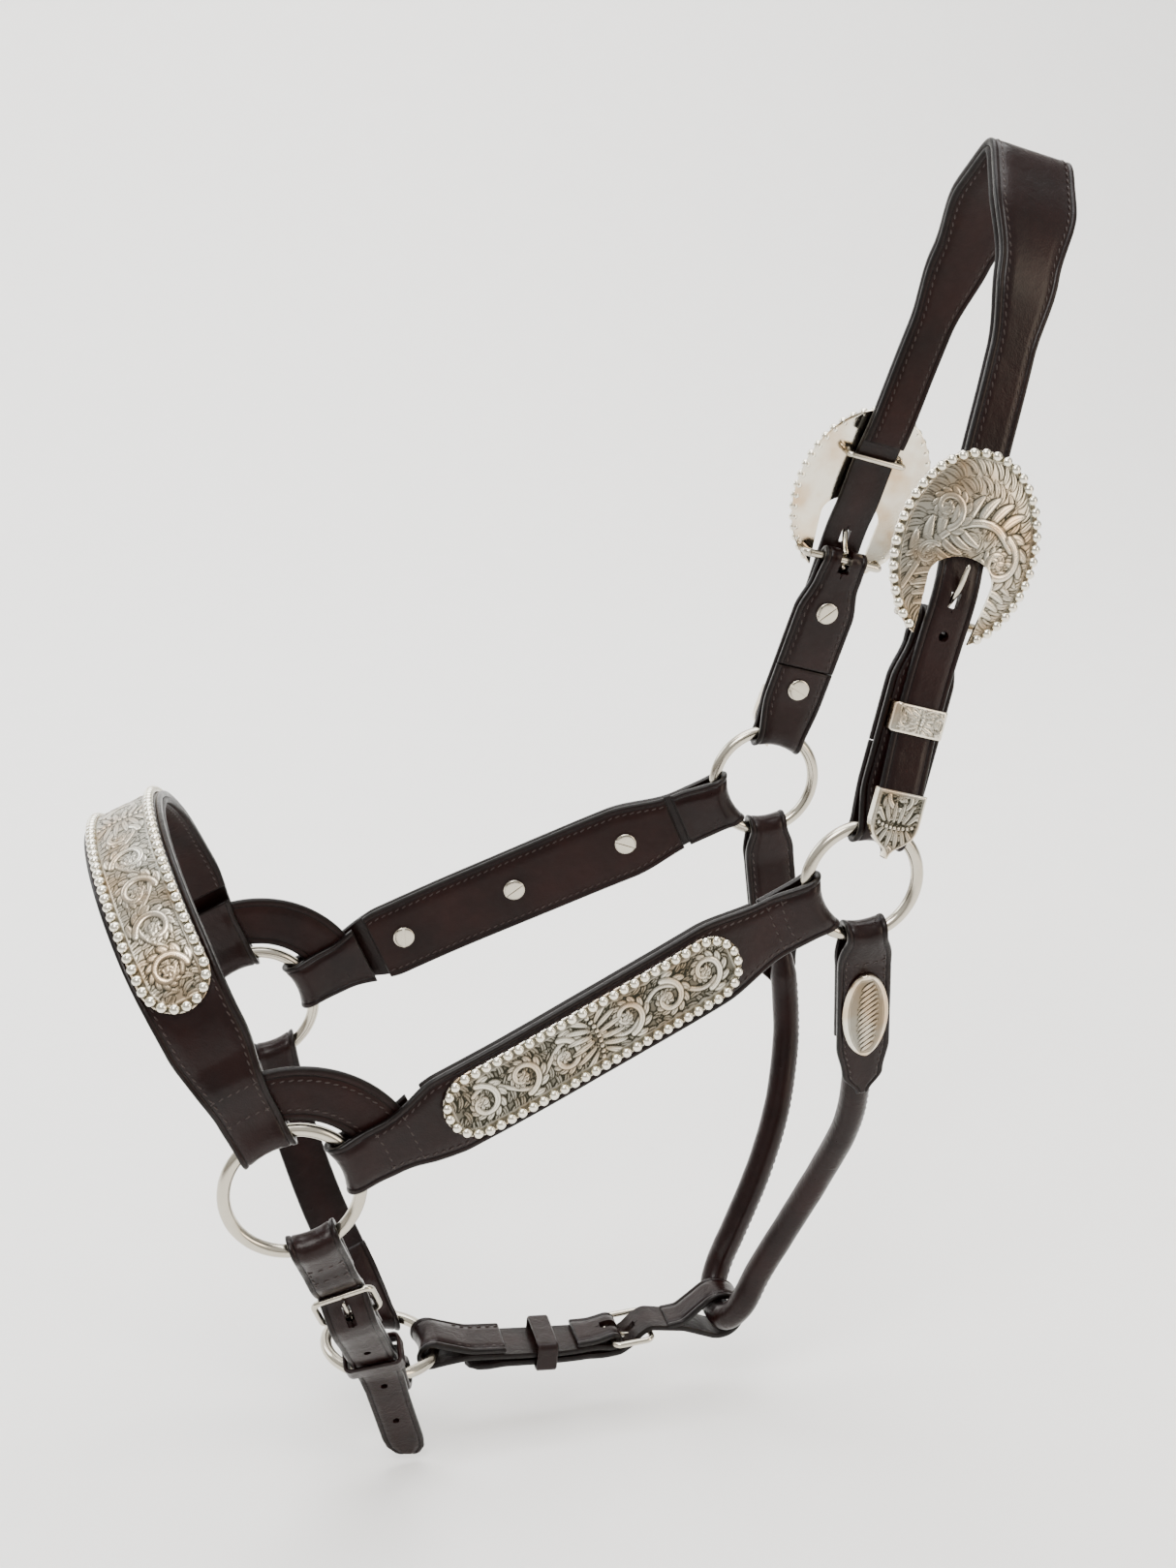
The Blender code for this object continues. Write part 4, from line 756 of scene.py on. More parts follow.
def carve(field, line, widths, rise, vein=0.0):
    """Raises a rounded stroke along a line, with a fine cut down its middle and a cut round its edge."""
    x, y, relief, cuts = field
    line = np.asarray(line, float)
    reach = max(widths) + 0.0006
    column = np.searchsorted(x, (line[:, 0].min() - reach, line[:, 0].max() + reach))
    row = np.searchsorted(y, (line[:, 1].min() - reach, line[:, 1].max() + reach))
    if column[0] >= column[1] or row[0] >= row[1]:
        return
    gx, gy = np.meshgrid(x[column[0]:column[1]], y[row[0]:row[1]])
    best = np.full(gx.shape, 1.0)
    share = np.full(gx.shape, 9.0)
    for index in range(len(line) - 1):
        start, step = line[index], line[index + 1] - line[index]
        reached = (gx - start[0]) * step[0] + (gy - start[1]) * step[1]
        t = np.clip(reached / max(step @ step, 1e-12), 0.0, 1.0)
        gap = np.hypot(gx - start[0] - t * step[0], gy - start[1] - t * step[1])
        wide = widths[index] + (widths[index + 1] - widths[index]) * t
        nearer = gap / wide < share
        best = np.where(nearer, gap, best)
        share = np.where(nearer, gap / wide, share)
    inside = share < 1.0
    dome = np.sqrt(np.clip(1.0 - share ** 2, 0.0, 1.0)) * rise
    dome = dome - vein * np.exp(-(best / VEIN_REACH) ** 2) * inside
    part = (slice(row[0], row[1]), slice(column[0], column[1]))
    relief[part] = np.where(inside, dome, relief[part])
    rim = np.exp(-((share - 1.0) * 4.0) ** 2)
    scored = rim * 0.8 + (vein > 0.0) * np.exp(-(best / VEIN_CUT) ** 2) * 0.7
    cuts[part] = np.where(inside, scored, np.maximum(cuts[part], rim))


def spiral(centre, start_radius, end_radius, start_angle, turns, count=46):
    t = np.linspace(0.0, 1.0, count)
    radius = start_radius * (end_radius / start_radius) ** t
    angle = start_angle + turns * 2.0 * math.pi * t
    return np.stack((centre[0] + radius * np.cos(angle), centre[1] + radius * np.sin(angle)), -1)


def leaf(field, root, angle, length, bend, wide, rise=0.00040):
    """One engraved leaf: a tapering curved stroke with a vein."""
    t = np.linspace(0.0, 1.0, 12)
    turn = angle + bend * t
    step = np.stack((np.cos(turn), np.sin(turn)), -1) * length / 11.0
    line = np.asarray(root) + np.vstack((np.zeros(2), np.cumsum(step[:-1], 0)))
    widths = wide * np.sin(np.clip(t * 0.90 + 0.10, 0.0, 1.0) * math.pi) ** 0.75 + 0.00012
    carve(field, line, widths, rise, 0.00014)


def scroll(field, centre, radius, start_angle, hand):
    """A leafy scroll: a spiral stem, leaves off its back, and a small flower at its eye."""
    centre = np.asarray(centre, float)
    stem = spiral(centre, radius, radius * 0.18, start_angle, hand * 1.30)
    heading = np.gradient(stem, axis=0)
    for index in range(0, 36, 3):
        outward = math.atan2(*(stem[index] - centre)[::-1])
        forward = math.atan2(*heading[index][::-1])
        turn = math.atan2(math.sin(forward - outward), math.cos(forward - outward))
        size = radius * (0.74 - index * 0.012)
        leaf(field, stem[index], outward + turn * 0.50, size, hand * 0.9, size * 0.27)
    carve(field, stem, np.linspace(radius * 0.17, radius * 0.10, len(stem)), 0.00055, 0.00012)
    for petal in range(5):
        angle = petal * 2.0 * math.pi / 5.0 + start_angle
        leaf(field, centre, angle, radius * 0.30, 0.3, radius * 0.10, 0.0005)


def dots(field, line, radius):
    """A row of small round beads raised from the ground."""
    for point in line:
        carve(field, (point - (0.0001, 0.0), point + (0.0001, 0.0)), (radius, radius), 0.0007)


def filler(field, length, width, step):
    """Low curved leaves in from both long edges, so that no ground is left plain."""
    for row, hand in ((0.52, -1.0), (-0.52, 1.0), (0.30, -1.0), (-0.30, 1.0), (0.08, 1.0)):
        for index in range(int(length / step) + 1):
            vary = math.sin(index * 2.4 + row * 9.0)
            x = -length / 2.0 + (index + row) * step
            lean = 0.8 if x < 0.0 else math.pi - 0.8
            heading, bend = hand * (lean + 0.45 * vary), hand * (0.8 + 0.5 * vary)
            leaf(field, (x, width * row), heading, width * (0.27 + 0.05 * vary), bend, width * 0.052, 0.00018)


def vine_field(length, width):
    """Volutes and leaf fans that mirror each other about a curved row of beads across the plate."""
    field = raster(length, width)
    filler(field, length, width, width * 0.118)
    pairs = max(1, round((length / 2.0 - width * 0.45) / (width * 0.80)))
    pitch = (length / 2.0 - width * 0.72) / max(pairs - 0.35, 1.0)
    t = np.linspace(0.0, 1.0, 120)
    for way in (-1.0, 1.0):
        run = way * (width * 0.15 + t * (length / 2.0 - width * 0.60))
        wave = np.cos((np.abs(run) - width * 0.62) / pitch * math.pi) * width * 0.26 * way
        carve(field, np.stack((run, -wave), -1), np.full(len(t), width * 0.050), 0.0005, 0.0001)
        for index in range(pairs):
            x = way * (width * 0.72 + index * pitch)
            up = way if index % 2 else -way
            scroll(field, (x, -up * width * 0.06), width * 0.41, up * math.pi / 2.0, -up)
        for index in range(6):
            root = (way * width * 0.10, (index - 2.5) * width * 0.13)
            bend = way * (index - 2.5) * -0.14
            heading = (2.5 - index) * -0.30 if way > 0.0 else math.pi + (2.5 - index) * 0.30
            leaf(field, root, heading, width * 0.52, bend, width * 0.060, 0.00045)
    y = np.linspace(-0.46, 0.46, 9) * width
    x = width * 0.10 * (1.0 - (2.0 * y / width) ** 2) - width * 0.04
    dots(field, np.stack((x, y), -1), width * 0.045)
    return field


def crest_field(width, height):
    """The oval buckle's engraving: a large S scroll with a volute and long leaves, over a low leaf ground."""
    field = raster(width, height)
    rings = ((0.50, 64, 0.13), (0.40, 50, 0.13), (0.30, 38, 0.12), (0.20, 26, 0.12), (0.10, 14, 0.11))
    for ring, count, size in rings:
        for index in range(count):
            angle = index * 2.0 * math.pi / count
            vary = math.sin(index * 2.4 + ring * 20.0)
            root = (width * ring * math.cos(angle), height * ring * math.sin(angle))
            heading, bend = angle + math.pi + 0.75 + 0.5 * vary, -0.9 - 0.6 * vary
            leaf(field, root, heading, width * (size + 0.02 * vary), bend, width * 0.021, 0.00016)
    knots = np.array((
        (-0.41, -0.27), (-0.33, -0.08), (-0.20, 0.07), (-0.02, 0.15), (0.16, 0.15), (0.32, 0.06)))
    sweep = smooth_line(knots * (width, height), 14)
    for index in range(8):
        at = sweep[10 + index * 7]
        leaf(field, at, 2.15 - index * 0.16, width * 0.25, -0.75, width * 0.036, 0.00048)
    for index in range(7):
        at = sweep[4 + index * 5]
        leaf(field, at, -0.55 - index * 0.05, width * (0.17 + 0.01 * index), 0.75, width * 0.028, 0.00042)
    for index in range(6):
        root = np.array((-0.44 + index * 0.030, -0.10 - index * 0.048)) * (width, height)
        leaf(field, root, 0.75 - index * 0.06, width * 0.22, -0.65, width * 0.026, 0.00044)
        root = np.array((0.47 - index * 0.030, -0.08 - index * 0.050)) * (width, height)
        leaf(field, root, math.pi - 0.75 + index * 0.06, width * 0.20, 0.65, width * 0.026, 0.00044)
    carve(field, sweep, np.linspace(width * 0.020, width * 0.036, len(sweep)), 0.0006, 0.00014)
    scroll(field, (-width * 0.24, height * 0.20), width * 0.15, -math.pi * 0.40, 1.0)
    scroll(field, (width * 0.24, height * -0.03), width * 0.19, math.pi * 0.42, -1.0)
    scroll(field, (-width * 0.30, -height * 0.07), width * 0.10, math.pi * 0.30, 1.0)
    return field


def flute_field(width, height):
    """Bright slanting cuts down the middle of a small oval, inside a plain rim."""
    field = raster(width, height)
    for index in range(-6, 7):
        at = index * height * 0.062
        room = width * 0.24 * math.sqrt(max(0.0, 1.0 - (at / (height * 0.44)) ** 2))
        if room > 0.001:
            leaf(field, (-room, at - room * 0.5), 0.45, room * 2.3, 0.35, 0.0008, 0.00055)
    return field


def read_field(field, x, y):
    """Relief and cut depth of an engraving at the points given."""
    grid_x, grid_y, relief, cuts = field
    column = np.clip((x - grid_x[0]) / (grid_x[1] - grid_x[0]), 0.0, len(grid_x) - 1.001)
    row = np.clip((y - grid_y[0]) / (grid_y[1] - grid_y[0]), 0.0, len(grid_y) - 1.001)
    c0, r0 = column.astype(int), row.astype(int)
    fc, fr = column - c0, row - r0
    values = []
    for layer in (relief, cuts):
        low = layer[r0, c0] * (1.0 - fc) + layer[r0, c0 + 1] * fc
        high = layer[r0 + 1, c0] * (1.0 - fc) + layer[r0 + 1, c0 + 1] * fc
        values.append(low * (1.0 - fr) + high * fr)
    return values


def plaque_rows(start, end, half_of, pitch):
    """Stations along a plaque, close together at its round ends, and its half width at each."""
    count = int((end - start) / pitch)
    t = np.linspace(0.0, 1.0, count)
    stations = start + (end - start) * t
    ends = (1.0 - np.cos(np.linspace(0.0, math.pi / 2.0, 14))) * pitch * 8.0
    inside = (stations > start + ends[-1]) & (stations < end - ends[-1])
    stations = np.unique(np.concatenate((start + ends, stations[inside], end - ends)))
    return stations, np.maximum(half_of(stations), 0.00008)


def plaque(name, place, stations, half, field, columns, thickness, tone=0.9, ground=0.00032, border=0.0038,
           crown=0.0, back_columns=5, shaded_channel=False):
    """A metal plaque with engraved relief on its face, inside a plain border.

    place(stations, side, height) gives points, and the channel flag sinks a groove under a row of beads and
    darkens it, as oxide and as painted shade between the beads.
    """
    even = np.linspace(-1.0, 1.0, columns)
    share = np.sin(even * math.pi / 2.0) * 0.35 + even * 0.65
    side = half[:, None] * share[None, :]
    middle = (stations[0] + stations[-1]) / 2.0
    along = np.broadcast_to((stations - middle)[:, None], side.shape)
    relief, cuts = read_field(field, along, side)
    ends = np.minimum(stations - stations[0], stations[-1] - stations)[:, None]
    inner = np.minimum(half[:, None] - np.abs(side), ends)
    fade = np.clip((inner - border) / 0.0005, 0.0, 1.0)
    rim = np.exp(-((inner - border) / 0.00035) ** 2)
    face = thickness / 2.0 + (relief - ground) * fade + crown * (1.0 - share[None, :] ** 2)
    face = face - 0.0004 * np.clip(1.0 - inner / 0.0005, 0.0, 1.0)
    dark = np.clip(fade * (cuts * 0.9 + np.clip(1.0 - relief / 0.00045, 0.0, 1.0) * tone), 0.0, 1.0)
    dark = np.maximum(dark, rim * 0.8)
    if shaded_channel:
        under = np.clip(np.minimum(inner - 0.0004, border - 0.0002 - inner) / 0.0003, 0.0, 1.0)
        face = face - 0.0003 * under
        # Painted shade: the groove between the rim beads takes the dark recess colour, along with its oxide.
        dark = np.maximum(dark, under * 0.85)
    back_share = np.linspace(1.0, -1.0, back_columns)
    back_side = half[:, None] * back_share
    back = np.full(back_side.shape, -thickness / 2.0)
    back[:, [0, -1]] = -thickness * 0.2
    points = np.concatenate((place(stations, side, face), place(stations, back_side, back)), 1)
    recess = np.concatenate((dark, np.full(back_side.shape, BACK_POLISH)), 1)
    return grid_mesh(name, points, attributes={"recess": recess})


def on_route(route, height):
    """A placing function for a plaque that lies along a strap."""
    def place(stations, side, lift):
        point, _, across, out = route.frame(stations)
        return point[:, None] + across[:, None] * side[..., None] + out[:, None] * (height + lift)[..., None]
    return place


def on_matrix(matrix):
    """A placing function for a flat plaque in a matrix's local X and Y."""
    rows = np.array(matrix)

    def place(stations, side, lift):
        y = np.broadcast_to(stations[:, None], side.shape)
        points = np.stack((side, y, lift), -1)
        return points @ rows[:3, :3].T + rows[:3, 3]
    return place


def stadium(start, end, radius):
    def half_of(stations):
        near = np.clip(np.minimum(stations - start, end - stations), 0.0, radius)
        return np.sqrt(np.maximum(radius ** 2 - (radius - near) ** 2, 0.0))
    return half_of


def rim_beads(body, place, start, end, half_of, height, inset=BEAD_INSET, gap=0.0):
    """Keeps the path of a plaque's row of beads; a gap leaves out the middle of its lower end."""
    middle, reach = (start + end) / 2.0, (end - start) / 2.0
    run = middle - reach * np.cos(np.linspace(0.0, math.pi, 400))
    half = half_of(run)
    loop = np.concatenate((np.stack((run, half), -1)[:-1], np.stack((run, -half), -1)[:0:-1]))
    tangent = unit(np.roll(loop, -1, 0) - np.roll(loop, 1, 0))
    inward = np.stack((tangent[:, 1], -tangent[:, 0]), -1)
    loop = loop + inward * inset
    if gap:
        away = (loop[:, 0] > middle) | (np.abs(loop[:, 1]) > gap)
        first = int(np.argmax(away & ~np.roll(away, 1)))
        loop = np.roll(loop, -first, 0)[np.roll(away, -first)]
    lift = np.full((len(loop), 1), height)
    points = place(loop[:, 0], loop[:, 1:], lift)[:, 0]
    above = place(loop[:, 0], loop[:, 1:], lift + 0.001)[:, 0]
    bead_lines.setdefault(body, []).append((points, unit(above - points), not gap))


# ======================================================================== placing helpers of the frame

def basis(origin, across, along, out):
    """A placing matrix from three directions and an origin."""
    rows = [[across[i], along[i], out[i], origin[i]] for i in range(3)]
    return Matrix(rows + [[0.0, 0.0, 0.0, 1.0]])


def nose_ring_centre(sign):
    return NOSE_RING_AT + np.array((0.0, sign * NOSE_RING_OUT, 0.0))


def cheek_ring_centre(sign):
    return CHEEK_RING_AT + np.array((0.0, sign * CHEEK_RING_OUT, 0.0))


def noseband_route():
    up = np.array((-math.sin(NOSEBAND_LEAN), 0.0, math.cos(NOSEBAND_LEAN)))
    across = np.array((math.cos(NOSEBAND_LEAN), 0.0, math.sin(NOSEBAND_LEAN)))
    straight = NOSE_RING_RADIUS + NOSEBAND_STRAIGHT
    top = math.hypot(NOSE_RING_AT[0], NOSE_RING_AT[2]) - LINING_FACE
    points = []
    for rise in (NOSE_RING_RADIUS, NOSE_RING_RADIUS + 0.014):
        points.append(NOSE_RING_AT + up * rise + (0.0, -NOSE_RING_OUT, 0.0))
    for step in range(9):
        angle = step * math.pi / 8.0
        side = math.copysign(abs(math.cos(angle)) ** (2.0 / NOSEBAND_ROUNDNESS), math.cos(angle))
        height = max(math.sin(angle), 0.0) ** (2.0 / NOSEBAND_ROUNDNESS)
        rise = straight + (top - straight) * height
        points.append(NOSE_RING_AT + up * rise + (0.0, -NOSE_RING_OUT * side, 0.0))
    for rise in (NOSE_RING_RADIUS + 0.014, NOSE_RING_RADIUS):
        points.append(NOSE_RING_AT + up * rise + (0.0, NOSE_RING_OUT, 0.0))
    return Route(points, across)


def cheek_route(sign):
    line = CHEEK_RING_AT - NOSE_RING_AT
    length = float(np.linalg.norm(line))
    along = line / length
    stations = (
        (NOSE_RING_RADIUS, NOSE_RING_OUT),
        (GUARD_OUTER + 0.004, NOSE_RING_OUT),
        (0.090, NOSE_RING_OUT - 0.0025),
        (0.125, NOSE_RING_OUT - 0.0070),
        (0.165, NOSE_RING_OUT - 0.0125),
        (0.198, CHEEK_RING_OUT + 0.0020),
        (length - CHEEK_RING_RADIUS, CHEEK_RING_OUT),
    )
    points = [NOSE_RING_AT + along * run + (0.0, sign * out, 0.0) for run, out in stations]
    return Route(points, (-along[2], 0.0, along[0]), flip=sign < 0.0)


def crown_up():
    return np.array((math.sin(CROWN_LEAN), 0.0, math.cos(CROWN_LEAN)))


def crown_across():
    return np.array((math.cos(CROWN_LEAN), 0.0, -math.sin(CROWN_LEAN)))


def crown_axes(sign):
    """Directions at one side of the crown: up along the hanger, and out from the head."""
    side = np.array((0.0, sign, 0.0))
    along = crown_up() * math.cos(SIDE_LEAN) - side * math.sin(SIDE_LEAN)
    out = side * math.cos(SIDE_LEAN) + crown_up() * math.sin(SIDE_LEAN)
    return along, out


def crown_wire(sign):
    return cheek_ring_centre(sign) + crown_up() * CHEEK_RING_RADIUS


def side_place(sign, along_by, out_by):
    along, out = crown_axes(sign)
    return basis(crown_wire(sign) + along * along_by + out * out_by, crown_across() * -sign, along, out)


def hanger_route(sign):
    along, _ = crown_axes(sign)
    points = [crown_wire(sign) + along * HEEL_BAR_AT * step / 4.0 for step in range(5)]
    return Route(points, crown_across(), flip=sign > 0.0)


def crown_route():
    """From the left billet's tip up through its buckle, over the poll, and down to the right tip."""
    over = HANGER_FACE + GAP + SCREW_HEAD_HEIGHT + GAP + BILLET_LEATHER / 2.0
    stations = (
        (-0.0020, 0.0094), (0.0060, 0.0094), (0.0140, 0.0092), (0.0250, 0.0080), (0.0370, over), (0.0500, over),
        (0.0620, over + 0.0002), (0.0740, 0.0076), (0.0870, 0.0087), (0.0960, 0.0084), (0.1060, 0.0068),
        (0.1245, 0.0064), (0.1420, 0.0036),
    )
    along, out = crown_axes(-1.0)
    half = [crown_wire(-1.0) + along * a + out * b for a, b in stations]
    for rise, out_by in ((0.195, 0.0415), (0.225, 0.0345), (0.250, 0.0235), (0.2655, 0.0110)):
        half.append(CHEEK_RING_AT + crown_up() * rise + (0.0, -out_by, 0.0))
    top = CHEEK_RING_AT + crown_up() * CROWN_RISE
    mirrored = [point * (1.0, -1.0, 1.0) for point in reversed(half)]
    return Route(half + [top] + mirrored, crown_across())


def billet_distance(route, along_by):
    """Distance along the crown's route of the point a given way up the left hanger."""
    along, _ = crown_axes(-1.0)
    half = len(route.line) // 2
    reached = (route.line[:half] - crown_wire(-1.0)) @ along
    return float(np.interp(along_by, np.maximum.accumulate(reached), route.reached[:half]))


def turned(point, tilt):
    """A point turned about Y."""
    return np.array((
        point[0] * math.cos(tilt) + point[2] * math.sin(tilt), point[1],
        -point[0] * math.sin(tilt) + point[2] * math.cos(tilt)))


def chin_wire(angle):
    flat = np.array((CHIN_RING_RADIUS * math.cos(angle), CHIN_RING_RADIUS * math.sin(angle), 0.0))
    return CHIN_RING_AT + turned(flat, CHIN_RING_TILT)


def chin_route(sign):
    """From the chin ring's wire up to the nose ring's wire on one side."""
    low = chin_wire(sign * math.pi / 2.0)
    centre = nose_ring_centre(sign)
    toward = unit(np.array((low[0] - centre[0], 0.0, low[2] - centre[2])))
    high = centre + toward * NOSE_RING_RADIUS
    across = np.array((-toward[2], 0.0, toward[0]))
    across = across * (1.0 if across[0] > 0.0 else -1.0)
    outward, forward = CHIN_BOW["left" if sign < 0.0 else "right"]
    bow = np.array((-forward, sign * outward, 0.0))
    parts = ((0.0, 0.0), (0.14, 0.22), (0.40, 1.0), (0.70, 1.0), (0.88, 0.50), (1.0, 0.0))
    points = [low + (high - low) * part + bow * share for part, share in parts]
    return Route(points, turned((1.0, 0.0, 0.0), CHIN_RING_TILT), across, flip=sign > 0.0)


def throat_points(sign):
    stations = (
        (0.2780, 0.0476, -0.0930), (0.2796, 0.0446, -0.1160), (0.2786, 0.0388, -0.1380),
        (0.2722, 0.0292, -0.1640), (0.2622, 0.0222, -0.1900), (0.2500, 0.0180, -0.2160),
        (0.2430, 0.0170, -0.2320), (0.2382, 0.0105, -0.2418), (0.2368, 0.0000, -0.2440),
    )
    return [np.array((x, sign * y, z)) for x, y, z in stations]


def gullet_route():
    start = chin_wire(0.0)
    end = throat_points(1.0)[-1]
    parts = ((0.0, 0.0), (0.22, 0.0030), (0.50, 0.0055), (0.78, 0.0035), (1.0, 0.0))
    points = [start + (end - start) * part + (0.0, 0.0, -sag) for part, sag in parts]
    return Route(points, (0.0, 1.0, 0.0))


def tab_route(sign):
    level = np.array((math.sin(TAB_SWING), 0.0, -math.cos(TAB_SWING)))
    start = cheek_ring_centre(sign) + level * CHEEK_RING_RADIUS
    down = level * math.cos(TAB_LEAN) - np.array((0.0, sign, 0.0)) * math.sin(TAB_LEAN)
    points = [start + down * (TAB_LENGTH + 0.004) * step / 4.0 for step in range(5)]
    return Route(points, (-down[2], 0.0, down[0]), flip=sign < 0.0)


# ======================================================================== cutting and sweeping

def box_at(matrix, size):
    mesh = bpy.data.meshes.new("cutter")
    work = bmesh.new()
    bmesh.ops.create_cube(work, size=1.0)
    bmesh.ops.scale(work, vec=size, verts=work.verts)
    # Round the slot's ends with a small bevel on its upright edges.
    upright = [edge for edge in work.edges if abs(edge.verts[0].co.z - edge.verts[1].co.z) > size[2] * 0.5]
    bmesh.ops.bevel(work, geom=upright, offset=min(size[0], size[1]) * 0.45, segments=5, affect="EDGES")
    work.to_mesh(mesh)
    work.free()
    mesh.transform(matrix)
    return mesh


def rod_at(matrix, radius, depth=0.02):
    mesh = bpy.data.meshes.new("cutter")
    work = bmesh.new()
    bmesh.ops.create_cone(work, cap_ends=True, segments=24, radius1=radius, radius2=radius, depth=depth)
    work.to_mesh(mesh)
    work.free()
    mesh.transform(matrix)
    return mesh


def prism_at(matrix, outline, depth):
    """A straight prism from a flat outline in local X and Y."""
    mesh = bpy.data.meshes.new("cutter")
    count = len(outline)
    verts = [(x, y, z) for z in (-depth, depth) for x, y in outline]
    faces = [[i, (i + 1) % count, count + (i + 1) % count, count + i] for i in range(count)]
    faces += [list(range(count))[::-1], list(range(count, 2 * count))]
    mesh.from_pydata(verts, [], faces)
    finish_mesh(mesh)
    mesh.transform(matrix)
    return mesh


def cut(mesh, cutters, attribute="edge", value=1.0):
    """The mesh with every cutter taken out of it."""
    item = bpy.data.objects.new("cut_body", mesh)
    bpy.context.scene.collection.objects.link(item)
    spare = []
    for cutter in cutters:
        layer = cutter.attributes.new(attribute, "FLOAT", "POINT")
        layer.data.foreach_set("value", np.full(len(cutter.vertices), value, np.float32))
        tool = bpy.data.objects.new("cut_tool", cutter)
        bpy.context.scene.collection.objects.link(tool)
        change = item.modifiers.new("cut", "BOOLEAN")
        change.object = tool
        change.operation = "DIFFERENCE"
        change.solver = "EXACT"
        spare.append(tool)
    bpy.context.view_layer.update()
    ready = item.evaluated_get(bpy.context.evaluated_depsgraph_get())
    result = bpy.data.meshes.new_from_object(ready)
    result.name = mesh.name
    for tool in spare + [item]:
        data = tool.data
        bpy.data.objects.remove(tool, do_unlink=True)
        bpy.data.meshes.remove(data)
    finish_mesh(result, 0.000002)
    return result


def rounded_outline(half_x, half_z, corner, steps=8):
    """A closed rectangle with round corners, as (x, z) points with several along each side."""
    points = []
    for index, (sx, sz) in enumerate(((1, 1), (-1, 1), (-1, -1), (1, -1))):
        for step in range(steps + 1):
            angle = (index + step / steps) * math.pi / 2.0
            x, z = corner * math.cos(angle), corner * math.sin(angle)
            points.append((sx * (half_x - corner) + x, sz * (half_z - corner) + z))
    points.append(points[0])
    points = np.array(points)
    reached = np.concatenate(([0.0], np.cumsum(np.linalg.norm(np.diff(points, axis=0), axis=1))))
    even = np.unique(np.concatenate((reached, np.arange(0.0, reached[-1], 0.00035))))[:-1]
    return np.stack([np.interp(even, reached, points[:, axis]) for axis in range(2)], -1)


def band(name, matrix, half_x, half_z, wall, height, field=None):
    """A closed band round a strap: a rounded wall swept round a rectangle, engraved on its front."""
    path = rounded_outline(half_x + wall / 2.0, half_z + wall / 2.0, KEEPER_CORNER + wall / 2.0)
    tangent = unit(np.roll(path, -1, 0) - np.roll(path, 1, 0))
    outward = np.stack((tangent[:, 1], -tangent[:, 0]), -1)
    outward = outward * (1.0 if np.sum(outward * path) > 0.0 else -1.0)
    ease = min(wall * 0.45, 0.0006)
    y_front = np.linspace(-height / 2.0 + ease, height / 2.0 - ease, BAND_ROWS)
    y_back = y_front[::-6]
    y = np.concatenate(([-height / 2.0], y_front, [height / 2.0, height / 2.0], y_back, [-height / 2.0]))
    lift = np.concatenate(([0.2], np.ones(BAND_ROWS), [0.2, -0.2], -np.ones(len(y_back)), [-0.2]))
    lift = lift * wall / 2.0
    is_face = np.concatenate(([0.0], np.ones(BAND_ROWS), np.zeros(len(y) - BAND_ROWS - 1)))
    lifts = np.broadcast_to(lift, (len(path), len(y))).copy()
    dark = np.zeros(lifts.shape)
    if field is not None:
        spots = (np.broadcast_to(path[:, :1], lifts.shape), np.broadcast_to(y, lifts.shape))
        relief, cuts = read_field(field, *spots)
        front = np.clip((outward[:, 1] - 0.9) / 0.08, 0.0, 1.0)[:, None] * is_face
        front = front * np.clip((height / 2.0 - 0.0011 - np.abs(y)) / 0.0003, 0.0, 1.0)
        front = front * np.clip((half_x - 0.0006 - np.abs(path[:, :1])) / 0.0004, 0.0, 1.0)
        lifts += front * (relief - 0.00022)
        dark = np.clip(front * (cuts * 0.8 + np.clip(1.0 - relief / 0.00014, 0.0, 1.0) * 0.6), 0.0, 1.0)
    x = path[:, :1] + outward[:, :1] * lifts
    z = path[:, 1:] + outward[:, 1:] * lifts
    points = np.stack((x, np.broadcast_to(y, lifts.shape), z), -1)
    points = np.concatenate((points, points[:1]), 0)
    dark = np.concatenate((dark, dark[:1]), 0)
    mesh = grid_mesh(name, points, caps=False, attributes={"recess": dark, "edge": dark * 0.0})
    mesh.transform(matrix)
    return mesh


# ======================================================================== noseband, cheekpieces and guards

def build_lining(name, body, node, route, start, end, height, widths, margin=0.002):
    """A strap's thin inner layer, sewn along both edges."""
    strap = Strap(route, [(start, height), (end, height)], widths, LINING_LEATHER, inward=True)
    add_piece(name, strap.mesh(name), LINING, body, (node,))
    edge_stitches(body, strap, start + margin, end - margin)


def build_noseband():
    route = noseband_route()
    length = route.length
    widths = mirrored_widths(NOSEBAND_WIDTHS, length)
    near = fold(0.0, 1.0, WIRE_RADIUS, GUARDED, GUARDED_BACK)
    far = fold(length, -1.0, WIRE_RADIUS, GUARDED, GUARDED_BACK)
    hugs = [(at, nose_ring_centre(sign), NOSE_RING_RADIUS) for at, sign in ((0.0, -1.0), (length, 1.0))]
    outer = Strap(route, near + far[::-1], widths, hugs=hugs)
    add_piece("noseband_leather", outer.mesh("noseband_leather"), LEATHER, "halter", ("noseband_strap",))
    edge_stitches("halter", outer, WIDE_STITCH_FROM, length - WIDE_STITCH_FROM)
    for at in (WIDE_STITCH_FROM, GUARD_END - 0.0015):
        cross_stitches("halter", outer, at)
        cross_stitches("halter", outer, length - at)
    build_lining(
        "noseband_inner", "halter", "noseband_lining", route, LINING_FROM, length - LINING_FROM, LINING_HEIGHT,
        widths)
    silver_strip("nose_plaque", route, NOSE_PLATE_START, length - NOSE_PLATE_START, "nose_plate", NOSE_GROUND)
    for at in (NOSE_SCREW_AT, length - NOSE_SCREW_AT):
        keep_screw("halter", route, at, LINING_FACE - 2.0 * GAP, -1.0)


